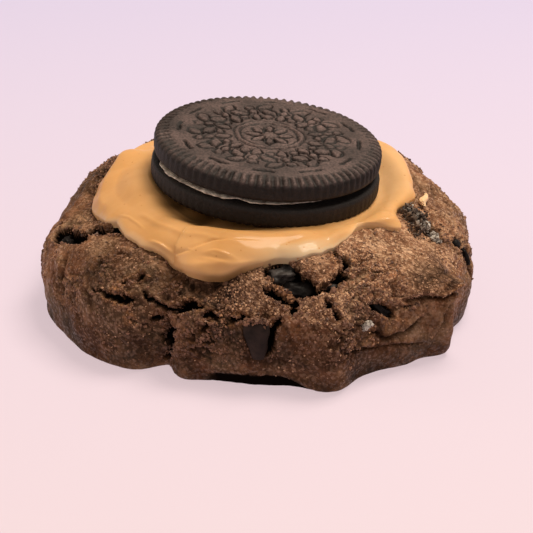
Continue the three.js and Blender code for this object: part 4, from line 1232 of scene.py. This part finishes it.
def waferSurface(embossed, spacing, radius, notched):
    # the profile turned about the axis, with ridges cut into its rim and the pattern on its face
    profile = np.array(wafer["profile"], float) * [radius / biscuit["radius"], 1, 1, 1]
    run = lengthAlong(profile[:, :2])
    faceEnd, wallEnd = run[1], run[-2]
    rows = np.concatenate([np.arange(0.25, faceEnd, spacing),
                           np.arange(faceEnd, wallEnd, wafer["rimStep"]), [wallEnd, run[-1] - 8]])
    reach, height, drop, notch = (np.interp(rows, run, profile[:, k])[:, None] for k in range(4))
    turn = np.arange(wafer["columns"]) / wafer["columns"] * 2 * np.pi
    groove = notched * (0.5 - 0.5 * np.cos(turn * biscuit["ridges"])) ** 1.3
    flatX, flatY = reach * np.cos(turn), reach * np.sin(turn)
    spot = np.stack([flatX, flatY, height + 0 * flatX], axis=-1)
    uneven = 1 + 0.35 * valueNoise(spot, 2.5, 511) + 0.25 * valueNoise(spot, 0.9, 519)
    start = 0.9 * valueNoise(spot * [1, 1, 0], 2.1, 512)  # the grooves begin raggedly on the face
    flatter = 1 - 0.75 * angleBump(np.degrees(turn), 200, 26) * smooth(20.6, 21.6, reach)
    drop = drop * smooth(18.9, 20.2, reach + start) if embossed else drop
    r = reach - notch * groove * uneven * flatter + 0.03 * layeredNoise(spot, 0.9, 513, 2)
    z = height - drop * groove * uneven * flatter + 0.06 * layeredNoise(spot, 0.9, 514, 3)
    onFace = (height > 4.0) & (reach < 19.9)
    motif = garland(flatX, flatY) * onFace if embossed else 0 * flatX
    wear = 0.7 + 0.5 * valueNoise(spot, 3.1, 515)
    z = z + wear * np.where(motif > 0, wafer["rise"], wafer["engrave"]) * motif
    pits = onFace * smooth(0.5, 0.8, valueNoise(spot, 0.7, 516))
    z = z - 0.06 * pits
    # painted sheen with a little rubbing: the raised face lighter, a little darker toward the left,
    # and the grooves, the sunken pattern and the pits left dark as painted shade
    tone = smooth(2.9, 4.1, height) * (1 - 0.95 * groove * smooth(0.08, 0.3, drop))
    tone = tone * (1 - smooth(0.08, 0.5, -motif))
    sheenAndRubbed = 0.7 + 0.35 * valueNoise(spot, 4.0, 517) - 0.15 * smooth(2.0, 18.0, -flatX) * embossed
    worn = np.clip(tone * (sheenAndRubbed + 0.25 * np.maximum(motif, 0)) - 0.3 * pits, 0, 1)
    worn = np.clip(worn + 0.05 * valueNoise(spot, 1.0, 518), 0, 1)
    worn = np.concatenate([[0.6], worn.ravel(), [0]])
    rings = np.stack([r * np.cos(turn), r * np.sin(turn), z], axis=-1)
    points = closedRings([0, 0, biscuit["thickness"]], rings, [0, 0, 0])
    return points, ringFaces(len(rows), wafer["columns"]), worn


def seatBiscuit(points):
    # the biscuit's own frame tilted onto the dough, turned about Y and then about X
    a, b = math.atan(biscuit["slopeY"]), -math.atan(biscuit["slopeX"])
    aboutX = np.array([[1, 0, 0], [0, math.cos(a), -math.sin(a)], [0, math.sin(a), math.cos(a)]])
    aboutY = np.array([[math.cos(b), 0, math.sin(b)], [0, 1, 0], [-math.sin(b), 0, math.cos(b)]])
    return points @ (aboutX @ aboutY).T + np.array([biscuit["x"], biscuit["y"], biscuit["base"]])


def sandwichBiscuit():
    # the upper wafer with its pattern, and the lower one upside down, plainer and with little
    # painted sheen
    points, faces, worn = waferSurface(True, wafer["faceStep"], biscuit["radius"], 1.0)
    lift = biscuit["thickness"] + biscuit["creme"] + 2 * biscuit["gap"]
    addMesh("upper_wafer_stamped", seatBiscuit(points + [0, 0, lift]), faces, cocoaWafer,
            "cocoa_wafer", ["upper_wafer"], worn=worn)
    points, faces, worn = waferSurface(False, wafer["plainStep"], biscuit["lowerRadius"], 0.35)
    turned = points * [1, -1, -1] + [0, 0, biscuit["thickness"]]
    addMesh("lower_wafer_stamped", seatBiscuit(turned), faces, cocoaWafer,
            "cocoa_wafer", ["lower_wafer"], worn=0.12 * worn)


sandwichBiscuit()


creme = {
    "columns": 480, "rows": 19, "bead": 1.35,
    # pairs of an angle and how far out it is squeezed
    "edge": [
        (-178, 20.9), (-166, 21.3), (-158, 22.2), (-150, 22.45), (-138, 22.0), (-124, 22.3),
        (-112, 22.2), (-106, 21.2), (-98, 21.7), (-80, 21.5), (-66, 20.6), (-30, 20.1), (100, 20.6),
    ],
}


def cremeLayer():
    # a disc with a rough bead round its edge that wanders: squeezed out at the left front, short at
    # the right
    turn = np.arange(creme["columns"]) / creme["columns"] * 2 * np.pi
    angle = (np.degrees(turn) + 180) % 360 - 180
    circle = np.stack([21 * np.cos(turn), 21 * np.sin(turn), 0 * turn], axis=-1)
    reach = closedCurve(creme["edge"], angle) + 0.35 * layeredNoise(circle, 2.0, 601, 3)
    low = biscuit["thickness"] - 0.1
    high = biscuit["thickness"] + biscuit["creme"] + 2 * biscuit["gap"] + 0.1
    thick = 0.16 + 0.13 * angleBump(angle, -118, 12) + 0.14 * angleBump(angle, -150, 11)
    thick = np.maximum(thick + 0.05 * valueNoise(circle, 1.6, 605), 0.08)
    middle = 0.5 + 0.16 * valueNoise(circle, 5.0, 607)
    share = np.linspace(0, 1, creme["rows"])[:, None]
    height = high + (low - high) * share + 0 * turn
    bead = np.exp(-np.abs((share - middle) / thick) ** 3)
    rough = 0.3 * layeredNoise(circle + height[..., None] * [0, 0, 1], 0.9, 611, 2)
    r = reach - 1.5 + (creme["bead"] + rough) * bead
    rings = np.stack([r * np.cos(turn), r * np.sin(turn), height], axis=-1)
    points = closedRings([0, 0, high], rings, [0, 0, low])
    addMesh("creme_layer", seatBiscuit(points), ringFaces(len(rings), creme["columns"]), sugarCreme,
            "creme", ["creme_filling"])


cremeLayer()
print("sandwich biscuit ready")


def crumbShape():
    # an octahedron, the plainest crumb: six points and eight faces
    points = np.array([[1, 0, 0], [-1, 0, 0], [0, 1, 0], [0, -1, 0], [0, 0, 1], [0, 0, -1]], float)
    faces = np.array([[0, 2, 4], [2, 1, 4], [1, 3, 4], [3, 0, 4],
                      [2, 0, 5], [1, 2, 5], [3, 1, 5], [0, 3, 5]])
    return points, faces


def scatterCrumbs(name, count, sizes, places, outs, material, slot, seed, stands=()):
    # copies of one crumb, each stretched, dented, turned at random and half sunk where it lies
    random = np.random.default_rng(seed)
    base, faces = crumbShape()
    size = sizes[0] * (sizes[1] / sizes[0]) ** (random.random(count) ** 1.6)
    stretch = random.uniform(0.6, 1.25, (count, 1, 3))
    jitter = random.uniform(-0.28, 0.28, (count, len(base), 3))
    turns = unit(random.normal(size=(count, 4)))
    w, x, y, z = turns.T
    spin = np.stack([1 - 2 * (y * y + z * z), 2 * (x * y - z * w), 2 * (x * z + y * w),
                     2 * (x * y + z * w), 1 - 2 * (x * x + z * z), 2 * (y * z - x * w),
                     2 * (x * z - y * w), 2 * (y * z + x * w), 1 - 2 * (x * x + y * y)], axis=1)
    local = np.einsum("nij,nkj->nki", spin.reshape(-1, 3, 3), (base[None] + jitter) * stretch)
    local = local * (size / 2)[:, None, None]
    lift = outs * (size * random.uniform(-0.22, 0.12, count))[:, None]
    points = (local + (places + lift)[:, None]).reshape(-1, 3)
    points[:, 2] = np.maximum(points[:, 2], 0.02)
    allFaces = (faces[None] + 6 * np.arange(count)[:, None, None]).reshape(-1, 3)
    shade = np.repeat(random.random(count), len(base))
    addMesh(name, points, [allFaces], material, slot, stands, flat=True, shade=shade)


def crustPlaces(count, weight, seed):
    # random places on the crust, the likelier the greater the weight there, and the way out of it
    random = np.random.default_rng(seed)
    place = crustShape["place"]
    east = np.roll(place, -1, axis=1) - np.roll(place, 1, axis=1)
    down = np.gradient(place, axis=0)
    cross = np.cross(down, east)
    chance = np.linalg.norm(cross, axis=-1) * weight
    picked = random.choice(chance.size, count, p=(chance / chance.sum()).ravel())
    row, column = np.unravel_index(picked, chance.shape)
    nextRow = np.minimum(row + 1, place.shape[0] - 1)
    nextColumn = (column + 1) % place.shape[1]
    s, t = random.random((2, count, 1))
    spot = place[row, column] * (1 - s) + place[nextRow, column] * s
    spot = spot + t * (place[row, nextColumn] - place[row, column])
    return spot, unit(cross[row, column])


strewn = {
    # how many, their sizes, look and seed
    "sugar_grains": (6500, (0.28, 0.62), sugarGrain, 701),
    "dough_grains": (7000, (0.35, 0.9), doughGrain, 711),
    "fresh_crumbs": (800, (0.35, 0.95), freshCrumb, 721),
    "broken_edges": (2200, (0.35, 1.0), doughGrain, 731),
}


def strewCrumbs():
    # grains of sugar and dough half sunk all over the crust, and fresh crumb on the cracks' lips
    level, angle = np.meshgrid(crustShape["level"], crustShape["angle"], indexing="ij")
    bare = (1 - crustShape["covered"]) * (level > 0.42) * (level < 1.75) * crustShape["rough"] ** 2
    bare = bare * (1 - 0.94 * angleBump(angle, 10, 46)) * (1 - 0.7 * angleBump(angle, -166, 38))
    shallow = 1 - smooth(0.15, 0.4, crustShape["pit"])
    upper = (1 - 0.8 * smooth(0.95, 1.3, level)) * (0.1 + crustShape["crumbly"] ** 2)
    upper = upper * (1 - 0.85 * angleBump(angle, -34, 22))
    broken = (1 - crustShape["covered"]) * (level > 0.42) * (level < 1.6)
    broken = broken * (1 - 0.8 * angleBump(angle, -6, 22))
    weights = {
        "sugar_grains": bare * shallow * crustShape["grainy"] ** 2.5,
        "dough_grains": bare * shallow * upper,
        "fresh_crumbs": broken * crustShape["lip"] ** 1.5 * shallow,
        "broken_edges": broken * crustShape["rim"] ** 2 * shallow,
    }
    for name, (count, sizes, look, seed) in strewn.items():
        spots, outs = crustPlaces(count, weights[name], seed)
        scatterCrumbs(name, count, sizes, spots, outs, look, "cookie_crumb", seed + 1)


strewCrumbs()


# heaps of crumbs, each in a band about a path over the skin: how far out of the skin they lie and
# how far astray from the path
heaps = {
    "crumb_bridge": {
        "count": 110, "sizes": (0.6, 1.5), "lift": (-2.6, -0.9), "astray": 0.35,
        "look": freshCrumb, "slot": "cookie_crumb",
        "path": [(-88.2, 0.6), (-85.7, 0.616), (-83.4, 0.638), (-81.9, 0.66), (-80.7, 0.7)],
    },
    "chunk_brow": {
        "count": 190, "sizes": (0.4, 1.1), "lift": (-0.7, 0.35), "astray": 0.3,
        "look": doughGrain, "slot": "cookie_crumb",
        "path": [(-92.8, 0.866), (-91.4, 0.85), (-89.8, 0.845), (-88.2, 0.85), (-87, 0.862)],
    },
    "crushed_wafer_crumbs": {
        "count": 330, "sizes": (0.5, 1.9), "lift": (-0.8, 0.45), "astray": 0.75,
        "look": crushedWafer, "slot": "crushed_biscuit", "stands": ["biscuit_crumb"],
        "path": [(-16, 0.44), (-20, 0.45), (-22, 0.485), (-20, 0.53), (-16, 0.48)],
    },
    "crushed_creme_crumbs": {
        "count": 170, "sizes": (0.35, 1.2), "lift": (-0.1, 0.75), "astray": 0.5,
        "look": crushedCreme, "slot": "crushed_biscuit",
        "path": [(-18.6, 0.45), (-19.2, 0.48), (-20.8, 0.52), (-22, 0.565)],
    },
    "scattered_creme_crumbs": {
        "count": 70, "sizes": (0.3, 1.0), "lift": (-0.3, 0.3), "astray": 0.35,
        "look": crushedCreme, "slot": "crushed_biscuit",
        "path": [(-22.4, 0.6), (-23.4, 0.635), (-23.4, 0.665)],
    },
    "scattered_wafer_crumbs": {
        "count": 60, "sizes": (0.4, 1.3), "lift": (-0.3, 0.3), "astray": 0.9,
        "look": crushedWafer, "slot": "crushed_biscuit",
        "path": [(-25, 0.5), (-28, 0.53), (-26, 0.56)],
    },
    "creme_fleck": {
        "count": 34, "sizes": (0.5, 1.2), "lift": (-0.1, 0.45), "astray": 0.3,
        "look": crushedCreme, "slot": "creme",
        "path": [(-60.8, 0.916), (-62, 0.93), (-62.8, 0.938)],
    },
}


def heapCrumbs():
    # loose crumbs at random along each path, and astray from it by a bell-shaped chance: a bridge
    # of dough in the hollow, a brow over the front chunk, and a corner of a crushed biscuit
    for number, (name, heap) in enumerate(heaps.items()):
        random = np.random.default_rng(800 + number)
        count, path = heap["count"], np.array(heap["path"])
        at = random.uniform(0, len(path) - 1, count)
        turn, down = (np.interp(at, np.arange(len(path)), values) for values in path.T)
        outs = outward(turn, down)
        spots = skin(turn, down) + outs * random.uniform(*heap["lift"], (count, 1))
        spots = spots + random.normal(size=(count, 3)) * heap["astray"]
        scatterCrumbs(name, count, heap["sizes"], spots, outs, heap["look"], heap["slot"],
                      820 + number, heap.get("stands", []))


heapCrumbs()
print("loose crumbs ready")


studio = {
    # the floor's colour near and far, and the glow from below that keeps the shadows faint
    "floor": ("#857c83", "#75718a"), "glow": ("#f8dddb", "#e6d8ec"), "glowStrength": 0.66,
    "floorHalf": 4.0,
    # the air's colour and strength
    "world": ("#f4e8dc", 0.36),
    # place in metres from the middle, size in metres, watts, colour
    "lights": [
        ("key", (0.2, 0.1, 0.62), 0.32, 5.7, "#fff0dc"),
        ("side", (-0.55, 0.06, 0.22), 0.3, 0.75, "#ffe2c2"),
        ("fill", (0.1, -0.7, 0.5), 0.5, 0.82, "#fff2e4"),
    ],
}


def setStage():
    # a wide floor, faintly lit from below as a light table is, a large soft key light above and
    # behind to the right, and a weak fill
    floorMesh = bpy.data.meshes.new("studio_floor")
    half, below = studio["floorHalf"], -0.0001
    signs = [(-1, -1), (1, -1), (1, 1), (-1, 1)]
    floorMesh.from_pydata([(sx * half, sy * half, below) for sx, sy in signs], [], [(0, 1, 2, 3)])
    material, tree, place = newMaterial("matt_studio_floor")
    away = addNode(tree, "SeparateXYZ", {0: place}).outputs["Y"]
    share = addNode(tree, "MapRange", {"Value": away, "From Min": -0.15,
                                       "From Max": 0.3}).outputs[0]
    tint, glow = (addNode(tree, "Mix", {0: share, 6: colour(near), 7: colour(far)},
                          data_type="RGBA").outputs[2]
                  for near, far in (studio["floor"], studio["glow"]))
    finishMaterial(tree, Base_Color=tint, Roughness=0.8, Specular_IOR_Level=0.1,
                   Emission_Color=glow, Emission_Strength=studio["glowStrength"])
    floorMesh.materials.append(material)
    floor = bpy.data.objects.new("studio_floor", floorMesh)
    bpy.context.scene.collection.objects.link(floor)

    world = bpy.data.worlds.new("studio_air")
    bpy.context.scene.world = world
    world.use_nodes = True
    air = world.node_tree.nodes["Background"]
    air.inputs["Color"].default_value = colour(studio["world"][0])
    air.inputs["Strength"].default_value = studio["world"][1]
    for name, place, size, watts, tint in studio["lights"]:
        data = bpy.data.lights.new(name, "AREA")
        data.size, data.energy, data.color = size, watts, colour(tint)[:3]
        lamp = bpy.data.objects.new(name, data)
        lamp.location = place
        toCookie = Vector((0, 0, 0.02)) - Vector(place)
        lamp.rotation_euler = toCookie.to_track_quat("-Z", "Y").to_euler()
        bpy.context.scene.collection.objects.link(lamp)
    bpy.context.scene.view_settings.view_transform = "Standard"


setStage()

print("scene ready")
